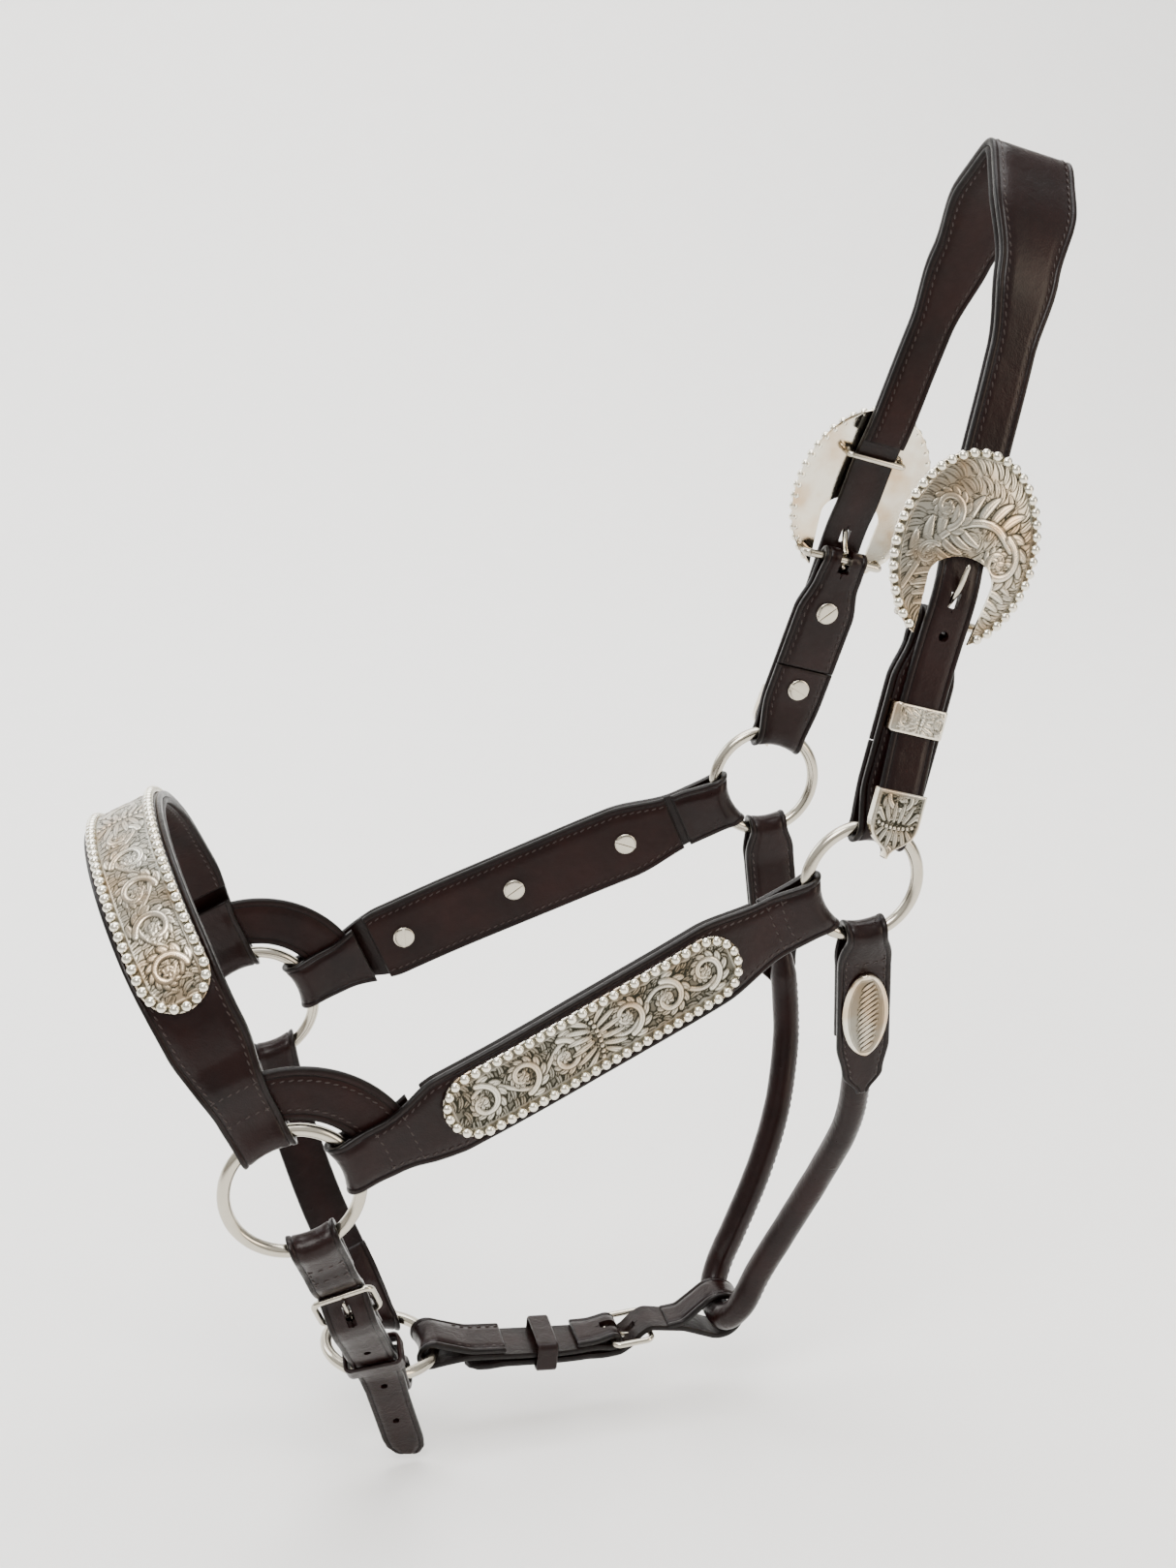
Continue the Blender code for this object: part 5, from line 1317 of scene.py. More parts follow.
def silver_strip(name, route, start, end, node, tone):
    """A long plaque with round ends, engraved inside a row of beads."""
    half_of = stadium(start, end, PLATE_WIDTH / 2.0)
    stations, half = plaque_rows(start, end, half_of, PLATE_PITCH)
    field = vine_field(end - start - 2.0 * PLATE_BORDER, PLATE_WIDTH - 2.0 * PLATE_BORDER)
    place = on_route(route, PLATE_HEIGHT)
    mesh = plaque(name, place, stations, half, field, 77, PLATE_THICKNESS, tone, shaded_channel=True)
    add_piece(name, mesh, ENGRAVED, "halter", (node,))
    rim_beads("halter", place, start, end, half_of, BEAD_LIFT)


def keep_screw(body, route, at, height, face):
    point, _, _, out = (values[0] for values in route.frame(at))
    screw_spots.setdefault(body, []).append((point + out * height, out * face))


def build_cheekpiece(side, sign):
    route = cheek_route(sign)
    length = route.length
    front = fold(0.0, 1.0, WIRE_RADIUS, GUARDED, GUARDED_BACK)
    rear = fold(length, -1.0, WIRE_RADIUS, PLAIN, 0.018)
    hugs = (
        (0.0, nose_ring_centre(sign), NOSE_RING_RADIUS), (length, cheek_ring_centre(sign), CHEEK_RING_RADIUS))
    outer = Strap(route, front + rear[::-1], CHEEK_WIDTHS, hugs=hugs)
    add_piece("cheek_leather_" + side, outer.mesh("cheek_leather"), LEATHER, "halter", ("cheek_strap_" + side,))
    edge_stitches("halter", outer, WIDE_STITCH_FROM, length - STITCH_FROM)
    for at in (WIDE_STITCH_FROM, GUARD_END - 0.0015, length - 0.011, length - 0.0165):
        cross_stitches("halter", outer, at)
    build_lining(
        "cheek_inner_" + side, "halter", "cheek_lining_" + side, route, LINING_FROM, length - 0.021,
        LINING_HEIGHT, CHEEK_WIDTHS)
    start = CHEEK_PLATE_MIDDLE - CHEEK_PLATE_LENGTH / 2.0
    silver_strip(
        "cheek_plaque_" + side, route, start, start + CHEEK_PLATE_LENGTH, "cheek_plate_" + side, CHEEK_GROUND)
    for index in (-1, 0, 1):
        keep_screw("halter", route, CHEEK_PLATE_MIDDLE + index * CHEEK_SCREW_SPACING, LINING_FACE - GAP, -1.0)


def build_guard(side, sign):
    """A half-moon of thick leather round the nose ring's inner corner, creased along both edges."""
    turns = np.linspace(GUARD_FROM, GUARD_TO, 70)
    middle = (GUARD_INNER + GUARD_OUTER) / 2.0
    half = (GUARD_OUTER - GUARD_INNER) / 2.0
    centre = nose_ring_centre(sign)
    t = GUARD_LEATHER / 2.0
    side_at = half - np.array((0.0, 0.0002, 0.0008, 0.0022, 0.0028, 0.0034))
    face = np.array((0.25, 0.72, 1.0, 1.0, 0.72, 1.0)) * t
    near = np.array((1.0, 1.0, 0.7, 0.1, 0.9, 0.1))
    across = np.concatenate((side_at, (0.003, -0.003), -side_at[::-1]))
    lift = np.concatenate((face, (t, t), face[::-1]))
    worn = np.concatenate((near, (0.0, 0.0), near[::-1]))
    across = np.concatenate((across, across[::-1]))
    lift = np.concatenate((lift, -lift[::-1]))
    worn = np.concatenate((worn, worn[::-1]))
    radius = middle + across
    rows = [centre + np.stack((radius * math.cos(a), sign * lift, radius * math.sin(a)), -1) for a in turns]
    edges = np.broadcast_to(worn, (len(turns), len(worn)))
    mesh = grid_mesh("guard", np.array(rows), attributes={"edge": edges})
    add_piece("guard_leather_" + side, mesh, LINING, "halter", ("ring_guard_" + side,))
    for edge in (1.0, -1.0):
        reach = middle + edge * (half - GUARD_STITCH_INSET)
        line = centre + np.array([(reach * math.cos(a), sign * t, reach * math.sin(a)) for a in turns[3:-3]])
        keep_stitches("halter", (line, np.broadcast_to((0.0, sign, 0.0), line.shape)))


def build_ring(node, centre, radius, tilt=None):
    """A welded wire ring, round in section, with the weld's faint swelling; its body is named as it is."""
    turns = np.arange(120) * 2.0 * math.pi / 120.0
    x, y, z = radius * np.cos(turns), radius * np.sin(turns), turns * 0.0
    flat = np.stack((x, z, y), -1)
    if tilt is not None:
        flat = np.array([turned(point, tilt) for point in zip(x, y, z)])
    swell = 1.0 + 0.03 * np.exp(-((turns - WELD_TURN) / 0.09) ** 2)
    mesh = tube_mesh(node, centre + flat, WIRE_RADIUS * 0.99 * swell, 22, closed=True)
    add_piece(node + "_wire", mesh, NICKEL, node, (node,))


# ======================================================================== crown

def build_hanger(side, sign):
    """The strap that holds an oval buckle, folded round the cheek ring and round the buckle's heel bar."""
    route = hanger_route(sign)
    length = route.length
    # The two turned-back ends all but meet under the silver keeper.
    low = fold(0.0, 1.0, WIRE_RADIUS, ((0.014, HANGER_LAYER),), 0.0313)
    high = fold(length, -1.0, HEEL_BAR_RADIUS, ((0.012, HANGER_LAYER),), length - 0.0316, BAR_SLACK)
    hugs = ((0.0, cheek_ring_centre(sign), CHEEK_RING_RADIUS),)
    strap = Strap(route, low + high[::-1], HANGER_WIDTHS, hugs=hugs)
    cutters = [box_at(route.place(length + 0.001), HANGER_SLOT)]
    slit = (KEEPER_WALL + 0.0012, KEEPER_HEIGHT + 0.0008, STRAP_LEATHER + 0.0006)
    for edge in (-1.0, 1.0):
        shift = Matrix.Translation((edge * (KEEPER_HALF + KEEPER_WALL / 2.0 - 0.0002), 0.0, 0.0))
        cutters.append(box_at(route.place(KEEPER_AT, HANGER_LAYER) @ shift, slit))
    mesh = cut(strap.mesh("hanger"), cutters)
    add_piece("hanger_leather_" + side, mesh, LEATHER, "crown", ("crown_hanger_" + side,))
    last = length - WIDE_STITCH_FROM
    for start, end, layer in ((STITCH_FROM, last, 1.0), (STITCH_FROM, 0.029, -1.0), (0.034, last, -1.0)):
        edge_stitches("crown", strap, start, end, layer=layer)
    for at in HANGER_SCREWS:
        for face in (-1.0, 1.0):
            keep_screw("crown", route, at, face * (HANGER_FACE + GAP), face)


def build_crown_strap():
    route = crown_route()
    length = route.length
    widths = mirrored_widths(CROWN_WIDTHS, length)
    strap = Strap(route, [(BILLET_END, 0.0), (length - BILLET_END, 0.0)], widths, BILLET_LEATHER)
    hole_at = billet_distance(route, HEEL_BAR_AT + 0.0085)
    cutters = [box_at(route.place(at), BILLET_SLOT) for at in (hole_at, length - hole_at)]
    cutters += [rod_at(route.place(at), 0.0020, 0.012) for at in (BILLET_HOLE_AT, length - BILLET_HOLE_AT)]
    mesh = cut(strap.mesh("crown_leather"), cutters)
    add_piece("crown_leather", mesh, LEATHER, "crown", ("crown_strap",))
    past = billet_distance(route, BACK_BAR_AT) + 0.0080
    first = past + 0.004
    edge_stitches("crown", strap, first, length - first)
    for at in (first, length - first):
        cross_stitches("crown", strap, at)
    under = -(BILLET_LEATHER + LINING_LEATHER) / 2.0 - GAP
    build_lining("crown_inner", "crown", "crown_lining", route, past, length - past, under, widths, 0.003)
    for side, at, facing in (("left", BILLET_END, 1.0), ("right", length - BILLET_END, -1.0)):
        build_tip(side, route, at, facing)


def build_tip(side, route, at, facing):
    """A silver cap with an ogee point, engraved on its face."""
    # (how far toward the point, half width) down one side of the cap.
    outline = np.array((
        (-0.0110, 0.0100), (-0.0050, 0.0100), (0.0012, 0.0100), (0.0036, 0.0096), (0.0060, 0.0086),
        (0.0078, 0.0070), (0.0096, 0.0048), (0.0112, 0.0024), (0.0128, 0.0012), (0.0150, 0.0004)))
    place = route.place(at)
    if facing > 0.0:
        place = place @ Matrix.Rotation(math.pi, 4, "Z")
    stations = np.unique(np.concatenate((np.linspace(-0.0110, -0.0100, 6), np.linspace(-0.0100, 0.0150, 84))))
    half = np.maximum(np.interp(stations, outline[:, 0], outline[:, 1]), 0.0005)
    field = vine_field(0.024, 0.0150)
    mesh = plaque("tip", on_matrix(place), stations, half, field, 61, BILLET_LEATHER + 0.0026, border=0.0012)
    add_piece("crown_point_" + side, mesh, ENGRAVED, "crown", ("crown_tip_" + side,), TIP_SHARP)


def dome_lift(y, x):
    u = y / BUCKLE_HALF_LENGTH
    v = x / BUCKLE_HALF_WIDTH
    return BUCKLE_DOME * np.maximum(0.0, 1.0 - u * u - v * v)


def on_dome(matrix):
    rows = np.array(matrix)

    def place(stations, side, lift):
        y = np.broadcast_to(stations[:, None], side.shape)
        points = np.stack((side, y, lift + dome_lift(y, side)), -1)
        return points @ rows[:3, :3].T + rows[:3, 3]
    return place


def mouth_outline():
    """The opening at the lower end of an oval buckle: an arch with straight sides."""
    top = BUCKLE_MOUTH_TOP - BUCKLE_MIDDLE
    low = -BUCKLE_HALF_LENGTH - 0.004
    rise = 0.009
    angles = np.linspace(0.0, math.pi, 25)
    arch = [(BUCKLE_MOUTH_WIDE * math.cos(a), top - rise + rise * math.sin(a)) for a in angles]
    return [(-BUCKLE_MOUTH_NARROW, low), (BUCKLE_MOUTH_NARROW, low)] + arch


def ellipse(half_length, half_width):
    """How half wide an oval plaque is along its length."""
    def half_of(stations):
        return half_width * np.sqrt(np.maximum(1.0 - (stations / half_length) ** 2, 0.0))
    return half_of


def turned_field(field):
    """An engraving with its length and width swapped."""
    return field[1], field[0], field[2].T, field[3].T


def buckle_bar(sign, at, half_width, depth, radius):
    """A bar across the buckle's back, its bent ends standing on the dome."""
    foot = BUCKLE_BACK + float(dome_lift(at - BUCKLE_MIDDLE, half_width))
    bend = 0.0018
    half_path = [
        (half_width - bend + bend * math.sin(a), depth + bend - bend * math.cos(a))
        for a in np.linspace(0.0, math.pi / 2.0, 7)]
    half_path.append((half_width, foot))
    path = [(-x, 0.0, z) for x, z in reversed(half_path)] + [(x, 0.0, z) for x, z in half_path]
    wire = tube_mesh("bar", path, radius, 16)
    wire.transform(side_place(sign, at, 0.0))
    return wire


def build_crown_buckle(side, sign):
    """The oval silver buckle: an engraved dome, with a heel bar across its mouth and a bar behind its top."""
    start, end = -BUCKLE_HALF_LENGTH, BUCKLE_HALF_LENGTH
    half_of = ellipse(BUCKLE_HALF_LENGTH, BUCKLE_HALF_WIDTH)
    stations, half = plaque_rows(start, end, half_of, BUCKLE_PITCH)
    matrix = side_place(sign, BUCKLE_MIDDLE, BUCKLE_BACK)
    place = on_dome(matrix)
    rim = 0.006
    field = turned_field(crest_field(BUCKLE_HALF_WIDTH * 2.0 - rim, BUCKLE_HALF_LENGTH * 2.0 - rim))
    mesh = plaque(
        "buckle", place, stations, half, field, 139, BUCKLE_SHEET, BUCKLE_GROUND, border=0.0033, back_columns=31,
        shaded_channel=True)
    mesh = cut(mesh, [prism_at(matrix, mouth_outline(), 0.02)], "recess", 0.0)
    add_piece("crown_plaque_" + side, mesh, ENGRAVED, "crown", ("crown_buckle_" + side,), SILVER_SHARP)
    rim_beads(
        "crown", place, start, end, half_of, BEAD_LIFT, BUCKLE_BEAD_INSET, BUCKLE_MOUTH_NARROW + 0.0032)
    wires = [
        buckle_bar(sign, HEEL_BAR_AT, BUCKLE_MOUTH_WIDE + 0.0035, 0.0, HEEL_BAR_RADIUS),
        buckle_bar(sign, BACK_BAR_AT, 0.0125, 0.0032, BAR_RADIUS)]
    add_piece("crown_bars_" + side, joined("bars", wires), NICKEL, "crown")
    low = -HANGER_GAP / 2.0 + GAP + KEEPER_WALL
    high = HANGER_FACE + GAP + SCREW_HEAD_HEIGHT + GAP + BILLET_LEATHER + 0.0008
    keeper = band(
        "keeper", side_place(sign, KEEPER_AT, (high + low) / 2.0), KEEPER_HALF, (high - low) / 2.0, KEEPER_WALL,
        KEEPER_HEIGHT, vine_field(KEEPER_HALF * 2.0, KEEPER_HEIGHT * 0.9))
    add_piece("keeper_band_" + side, keeper, ENGRAVED, "crown", ("crown_keeper_" + side,), SILVER_SHARP)
    hook = hook_mesh("hook", HEEL_BAR_RADIUS, 0.0012, 0.0225, 0.0060, 0.0080)
    hook.transform(side_place(sign, HEEL_BAR_AT, 0.0))
    node = "crown_tongue_" + side
    add_piece("crown_hook_" + side, hook, NICKEL, node, (node,))


def hook_mesh(name, bar, radius, reach, lift, rise):
    """A buckle tongue: an open eye round its bar, then a shaft that rises to its tapered tip."""
    eye = bar + radius + 0.0003
    angles = np.radians(-150.0 + np.linspace(0.0, 7.0, 29) * 34.0)
    points = [(0.0, eye * math.sin(a), eye * math.cos(a)) for a in angles][::-1]
    y, z = points[0][1], points[0][2]
    shaft = [(0.0, reach * part, lift + rise * part) for part in (1.0, 0.8, 0.55)]
    shaft.append((0.0, y + 0.003, max(z, lift * 0.8)))
    line = smooth_line(np.array(shaft + points), 5)
    reached = np.concatenate(([0.0], np.cumsum(np.linalg.norm(np.diff(line, axis=0), axis=1))))
    taper = np.interp(reached, (0.0, 0.0006, 0.006), (0.35, 0.70, 1.0))
    return tube_mesh(name, line, radius * taper, 14)


# ======================================================================== chin, gullet and throat

def billet_through_frame(heel):
    """A billet's side outline over the chape's fold, down through its frame and behind the far bar."""
    over_fold = FRAME_WIRE + BAR_SLACK + STRAP_LEATHER + GAP + STRAP_LEATHER / 2.0
    behind_bar = -(FRAME_WIRE + STRAP_LEATHER / 2.0 + BAR_SLACK)
    return [
        (heel - 0.004, over_fold + 0.0002), (heel + 0.003, over_fold), (heel + 0.008, 0.0032),
        (heel + 0.0125, -0.0010), (heel + FRAME_HALF[1] * 2.0, behind_bar)]


def tongue_tip(at, width):
    """Widths of a billet's rounded tip."""
    return ((at, width * 0.40), (at + 0.0020, width * 0.70), (at + 0.0055, width * 0.93), (at + 0.0100, width))


def keeper_loop(body, node, route, at, width):
    """The leather loop that holds a billet down and slides along its strap."""
    low = -OUTER_FACE - 0.0006
    high = OVER_HEIGHT + STRAP_LEATHER / 2.0 + 0.0006
    place = route.place(at, (high + low) / 2.0)
    mesh = band(body + "_loop", place, width / 2.0 + 0.0009, (high - low) / 2.0, LOOP_WALL, LOOP_HEIGHT)
    add_piece(body + "_loop", mesh, LEATHER, body, (node,))


def buckle_set(body, route, heel, buckle_node, tongue_node):
    """A small wire frame buckle and its tongue."""
    outline = rounded_outline(*FRAME_HALF, 0.0030)[::2]
    line = np.stack((outline[:, 0], outline[:, 1], outline[:, 0] * 0.0), -1)
    wire = tube_mesh(body + "_frame", line, FRAME_WIRE, 16, closed=True)
    wire.transform(route.place(heel + FRAME_HALF[1], 0.0))
    add_piece(body + "_frame_wire", wire, NICKEL, body, (buckle_node,))
    hook = hook_mesh(body + "_hook", FRAME_WIRE, 0.0009, 0.0172, 0.0030, 0.0002)
    hook.transform(route.place(heel))
    add_piece(body + "_hook", hook, NICKEL, body + "_tongue", (tongue_node,))


def narrow_stitches(body, strap, start, end, layer=1.0, inset=NARROW_INSET):
    edge_stitches(body, strap, start, end, layer=layer, inset=inset)


def build_chape(body, node, route, heel, outline, widths, back_end):
    """The short strap folded round the chin ring and round its frame's heel bar, slotted for the tongue."""
    strap = Strap(route, outline, widths, hugs=((0.0, CHIN_RING_AT, CHIN_RING_RADIUS),))
    mesh = cut(strap.mesh(body + "_chape"), [box_at(route.place(heel), TONGUE_SLOT)])
    add_piece(body + "_leather_chape", mesh, LEATHER, body, (node,))
    narrow_stitches(body, strap, STITCH_FROM, back_end, -1.0)
    narrow_stitches(body, strap, STITCH_FROM, heel - 0.012)
    return strap


def build_billet(body, node, route, heel, outline, widths, holes, hugs=()):
    """The pointed strap that goes through the frame, with a slot for the tongue and spare punched holes."""
    strap = Strap(route, outline, widths, hugs=hugs)
    cutters = [box_at(route.place(heel + FRAME_HALF[1] * 0.9), FRAME_SLOT)]
    cutters += [rod_at(route.place(at, height), PUNCH_RADIUS, PUNCH_DEPTH) for at, height in holes]
    mesh = cut(strap.mesh(body + "_billet"), cutters)
    add_piece(body + "_leather_billet", mesh, LEATHER, body, (node,))
    return strap


def build_chin():
    """The chin straps: a plain one on the right, and a buckled one on the left."""
    route = chin_route(1.0)
    length = route.length
    low = fold(0.0, 1.0, WIRE_RADIUS, PLAIN, 0.030, CHIN_RING_CLEARANCE)
    high = fold(length, -1.0, WIRE_RADIUS, PLAIN, 0.030)
    ring_hug = (0.0, CHIN_RING_AT, CHIN_RING_RADIUS)
    hugs = (ring_hug, (length, nose_ring_centre(1.0), NOSE_RING_RADIUS))
    strap = Strap(route, low + high[::-1], ((0.0, CHIN_WIDTH), (length, CHIN_WIDTH)), hugs=hugs)
    add_piece("chin_leather_right", strap.mesh("chin_right"), LEATHER, "chin", ("chin_strap_right",))
    narrow_stitches("chin", strap, STITCH_FROM, length - STITCH_FROM)
    for at in (STITCH_FROM, 0.029, length - 0.029, length - STITCH_FROM):
        cross_stitches("chin", strap, at)

    route = chin_route(-1.0)
    length = route.length
    heel = CHIN_FRAME_AT
    low = fold(0.0, 1.0, WIRE_RADIUS, PLAIN, 0.026, CHIN_RING_CLEARANCE)
    high = fold(heel, -1.0, FRAME_WIRE, FRAME_LAYERS, 0.014, BAR_SLACK)
    widths = ((0.0, CHIN_WIDTH), (heel, CHIN_WIDTH - 0.001))
    build_chape("chin", "chin_chape_left", route, heel, low + high[::-1], widths, 0.025)
    buckle_set("chin", route, heel, "chin_buckle_left", "chin_tongue_left")
    past_bar = heel + FRAME_HALF[1] * 2.0
    outline = [(-CHIN_TAIL, 0.0205), (-0.0220, 0.0160), (-0.0100, 0.0124), (0.0020, 0.0090)]
    outline += [(0.0150, OVER_HEIGHT + 0.0006), (0.0260, OVER_HEIGHT), (heel - 0.012, OVER_HEIGHT)]
    outline += billet_through_frame(heel) + [(past_bar + 0.006, -0.0006), (past_bar + 0.0125, LAYER)]
    outline += fold(length, -1.0, WIRE_RADIUS, PLAIN, 0.020)[::-1]
    widths = tongue_tip(-CHIN_TAIL, CHIN_WIDTH - BILLET_TRIM) + ((length, CHIN_WIDTH),)
    hugs = ((length, nose_ring_centre(-1.0), NOSE_RING_RADIUS),)
    billet = build_billet("chin", "chin_billet_left", route, heel, outline, widths, CHIN_HOLES, hugs)
    narrow_stitches("chin", billet, length - 0.020, length - STITCH_FROM)
    for at in (length - 0.019, length - STITCH_FROM):
        cross_stitches("chin", billet, at)
    keeper_loop("chin_keeper", "chin_keeper_left", route, CHIN_KEEPER_AT, CHIN_WIDTH)


def build_gullet():
    """The gullet strap, from the chin ring back to the rolled throat latch, buckled on its way."""
    route = gullet_route()
    length = route.length
    heel = GULLET_FRAME_AT
    low = fold(0.0, 1.0, WIRE_RADIUS, ((0.015, LAYER),), 0.030, 0.0016)
    high = fold(heel, -1.0, FRAME_WIRE, FRAME_LAYERS, 0.016, BAR_SLACK)
    widths = ((0.0, GULLET_WIDTH), (0.050, GULLET_WIDTH), (heel, CHIN_WIDTH - 0.001))
    chape = build_chape("gullet", "gullet_chape", route, heel, low + high[::-1], widths, 0.029)
    cross_stitches("gullet", chape, STITCH_FROM)
    buckle_set("gullet", route, heel, "gullet_buckle", "gullet_tongue")
    outline = [(0.0140, OVER_HEIGHT + 0.0030), (0.0300, OVER_HEIGHT + 0.0006), (heel - 0.012, OVER_HEIGHT)]
    outline += billet_through_frame(heel) + [(heel + FRAME_HALF[1] * 2.0 + 0.006, -0.0014)]
    outline += fold(length, -1.0, ROLL_RADIUS, ((0.017, LAYER),), 0.024, ROLL_CLEARANCE)[::-1]
    widths = tongue_tip(0.0140, GULLET_WIDTH - BILLET_TRIM)
    widths += ((0.060, GULLET_WIDTH - BILLET_TRIM), (heel, CHIN_WIDTH - BILLET_TRIM), (length, 0.0145))
    billet = build_billet("gullet", "gullet_billet", route, heel, outline, widths, GULLET_HOLES)
    narrow_stitches("gullet", billet, heel + 0.028, length - 0.015, inset=0.0028)
    cross_stitches("gullet", billet, length - 0.0185)
    keeper_loop("gullet_keeper", "gullet_keeper", route, GULLET_KEEPER_AT, GULLET_WIDTH)


def build_throat():
    """The rolled throat latch: a round strap with a seam on its inner side, and a flat tab at each end."""
    line = smooth_line(throat_points(-1.0) + throat_points(1.0)[:-1][::-1], 16)
    reached = np.concatenate(([0.0], np.cumsum(np.linalg.norm(np.diff(line, axis=0), axis=1))))
    even = np.linspace(0.0, reached[-1], 360)
    line = np.stack([np.interp(even, reached, line[:, axis]) for axis in range(3)], -1)
    tangent = unit(np.gradient(line, axis=0))
    # The seam runs along the roll's rear side.
    toward = np.array((1.0, 0.0, 0.25))
    rear = unit(toward - tangent * (tangent @ toward)[:, None])
    side = np.cross(tangent, rear)
    around = np.linspace(0.22, 2.0 * math.pi - 0.22, 26)
    angles = np.sort(np.concatenate((around, (-0.10, -0.04, 0.0, 0.04, 0.10))))
    notch = 1.0 - 0.16 * np.exp(-(np.sin(angles / 2.0) * 2.0 / 0.07) ** 2)
    ends = np.minimum(even, reached[-1] - even)
    grow = np.interp(ends, (0.0, 0.0012, 0.006, 0.014), (0.30, 0.52, 0.82, 1.0))
    wander = 1.0 + 0.012 * np.sin(even * 310.0) * np.sin(even * 97.0)
    radius = ROLL_RADIUS * (grow * wander)[:, None] * notch[None, :]
    spokes = np.cos(angles)[None, :, None] * rear[:, None] + np.sin(angles)[None, :, None] * side[:, None]
    points = line[:, None] + radius[..., None] * spokes
    worn = np.broadcast_to(np.clip((1.0 - notch) * 7.0, 0.0, 1.0), radius.shape)
    mesh = grid_mesh("roll", points, attributes={"edge": worn})
    add_piece("throat_roll_leather", mesh, LEATHER, "throat", ("throat_roll",), ROLL_SHARP)
    seam = slice(20, -20)
    for turn in (-0.42, 0.42):
        normal = math.cos(turn) * rear + math.sin(turn) * side
        keep_stitches("throat", (line[seam] + normal[seam] * ROLL_RADIUS * 0.99, normal[seam]))
    for name, sign in SIDES:
        route = tab_route(sign)
        outline = fold(0.0, 1.0, WIRE_RADIUS, PLAIN, 0.046) + [(TAB_LENGTH, LAYER)]
        widths = ((0.0, 0.0165), (0.012, TAB_WIDTH), (0.050, TAB_WIDTH), (0.064, 0.0170), (TAB_LENGTH, 0.0050))
        strap = Strap(route, outline, widths, hugs=((0.0, cheek_ring_centre(sign), CHEEK_RING_RADIUS),))
        add_piece("throat_tab_leather_" + name, strap.mesh("tab"), LEATHER, "throat", ("throat_tab_" + name,))
        narrow_stitches("throat", strap, STITCH_FROM, TAB_LENGTH - 0.008)
        narrow_stitches("throat", strap, STITCH_FROM, 0.044, -1.0)
        cross_stitches("throat", strap, 0.011)
        half_length, half_width = OVAL_SIZE[1] / 2.0, OVAL_SIZE[0] / 2.0
        stations, half = plaque_rows(
            -half_length, half_length, ellipse(half_length, half_width), PLATE_PITCH)
        place = on_matrix(route.place(OVAL_AT, PLATE_HEIGHT))
        mesh = plaque(
            "oval", place, stations, half, turned_field(flute_field(*OVAL_SIZE)), 55, PLATE_THICKNESS,
            OVAL_GROUND, 0.0001, 0.0022, 0.0011)
        add_piece("throat_plaque_" + name, mesh, ENGRAVED, "throat", ("throat_oval_" + name,), SILVER_SHARP)


# ======================================================================== stitches, beads and screws

def new_tree(name, inputs):
    """An empty geometry tree with named inputs; it hands back the tree, its entry and its exit."""
    tree = bpy.data.node_groups.new(name, "GeometryNodeTree")
    tree.interface.new_socket("Geometry", in_out="INPUT", socket_type="NodeSocketGeometry")
    for label, kind in inputs:
        tree.interface.new_socket(label, in_out="INPUT", socket_type=kind)
    tree.interface.new_socket("Geometry", in_out="OUTPUT", socket_type="NodeSocketGeometry")
    return tree, tree.nodes.new("NodeGroupInput"), tree.nodes.new("NodeGroupOutput")


def place_instances(tree, entry, leave, points, instance, tangent):
    """Sets an instance on every point, its Z along the stored facing and its X along the path."""
    facing = add_node(
        tree, "GeometryNodeInputNamedAttribute", {"data_type": "FLOAT_VECTOR"}, {"Name": "facing"})
    axes = add_node(
        tree, "FunctionNodeAxesToRotation", {"primary_axis": "Z", "secondary_axis": "X"},
        links={"Primary Axis": facing.outputs["Attribute"], "Secondary Axis": tangent})
    placed = add_node(
        tree, "GeometryNodeInstanceOnPoints",
        links={"Points": points, "Instance": instance, "Rotation": axes.outputs["Rotation"]})
    real = add_node(tree, "GeometryNodeRealizeInstances", links={"Geometry": placed.outputs["Instances"]})
    smooth = add_node(tree, "GeometryNodeSetShadeSmooth", links={"Geometry": real.outputs["Geometry"]})
    add_node(
        tree, "GeometryNodeSetMaterial",
        links={"Geometry": smooth.outputs["Geometry"], "Material": entry.outputs["Material"]},
        into={"Geometry": leave.inputs["Geometry"]})


def along_paths(tree, entry, leave, segments, rings, sizes, slant=None):
    """Sets a stretched ball at every pitch along the paths, turned by the slant if there is one."""
    curve = add_node(tree, "GeometryNodeMeshToCurve", links={"Mesh": entry.outputs["Geometry"]})
    points = add_node(
        tree, "GeometryNodeCurveToPoints", {"mode": "LENGTH"},
        links={"Curve": curve.outputs["Curve"], "Length": entry.outputs["Pitch"]})
    ball = add_node(
        tree, "GeometryNodeMeshUVSphere", inputs={"Segments": segments, "Rings": rings, "Radius": 0.5})
    size = add_node(
        tree, "ShaderNodeCombineXYZ", links={axis: entry.outputs[label] for axis, label in zip("XYZ", sizes)})
    shaped = add_node(
        tree, "GeometryNodeTransform",
        links={"Geometry": ball.outputs["Mesh"], "Scale": size.outputs["Vector"]})
    if slant:
        add_node(
            tree, "ShaderNodeCombineXYZ", links={"Z": entry.outputs[slant]},
            into={"Vector": shaped.inputs["Rotation"]})
    place_instances(
        tree, entry, leave, points.outputs["Points"], shaped.outputs["Geometry"], points.outputs["Tangent"])


def stitch_tree():
    """Short slanting stitches along sewing lines."""
    tree, entry, leave = new_tree("Saddle stitches", (
        ("Pitch", "NodeSocketFloat"), ("Length", "NodeSocketFloat"), ("Thread", "NodeSocketFloat"),
        ("Slant", "NodeSocketFloat"), ("Material", "NodeSocketMaterial")))
    along_paths(tree, entry, leave, 6, 4, ("Length", "Thread", "Thread"), "Slant")
    return tree


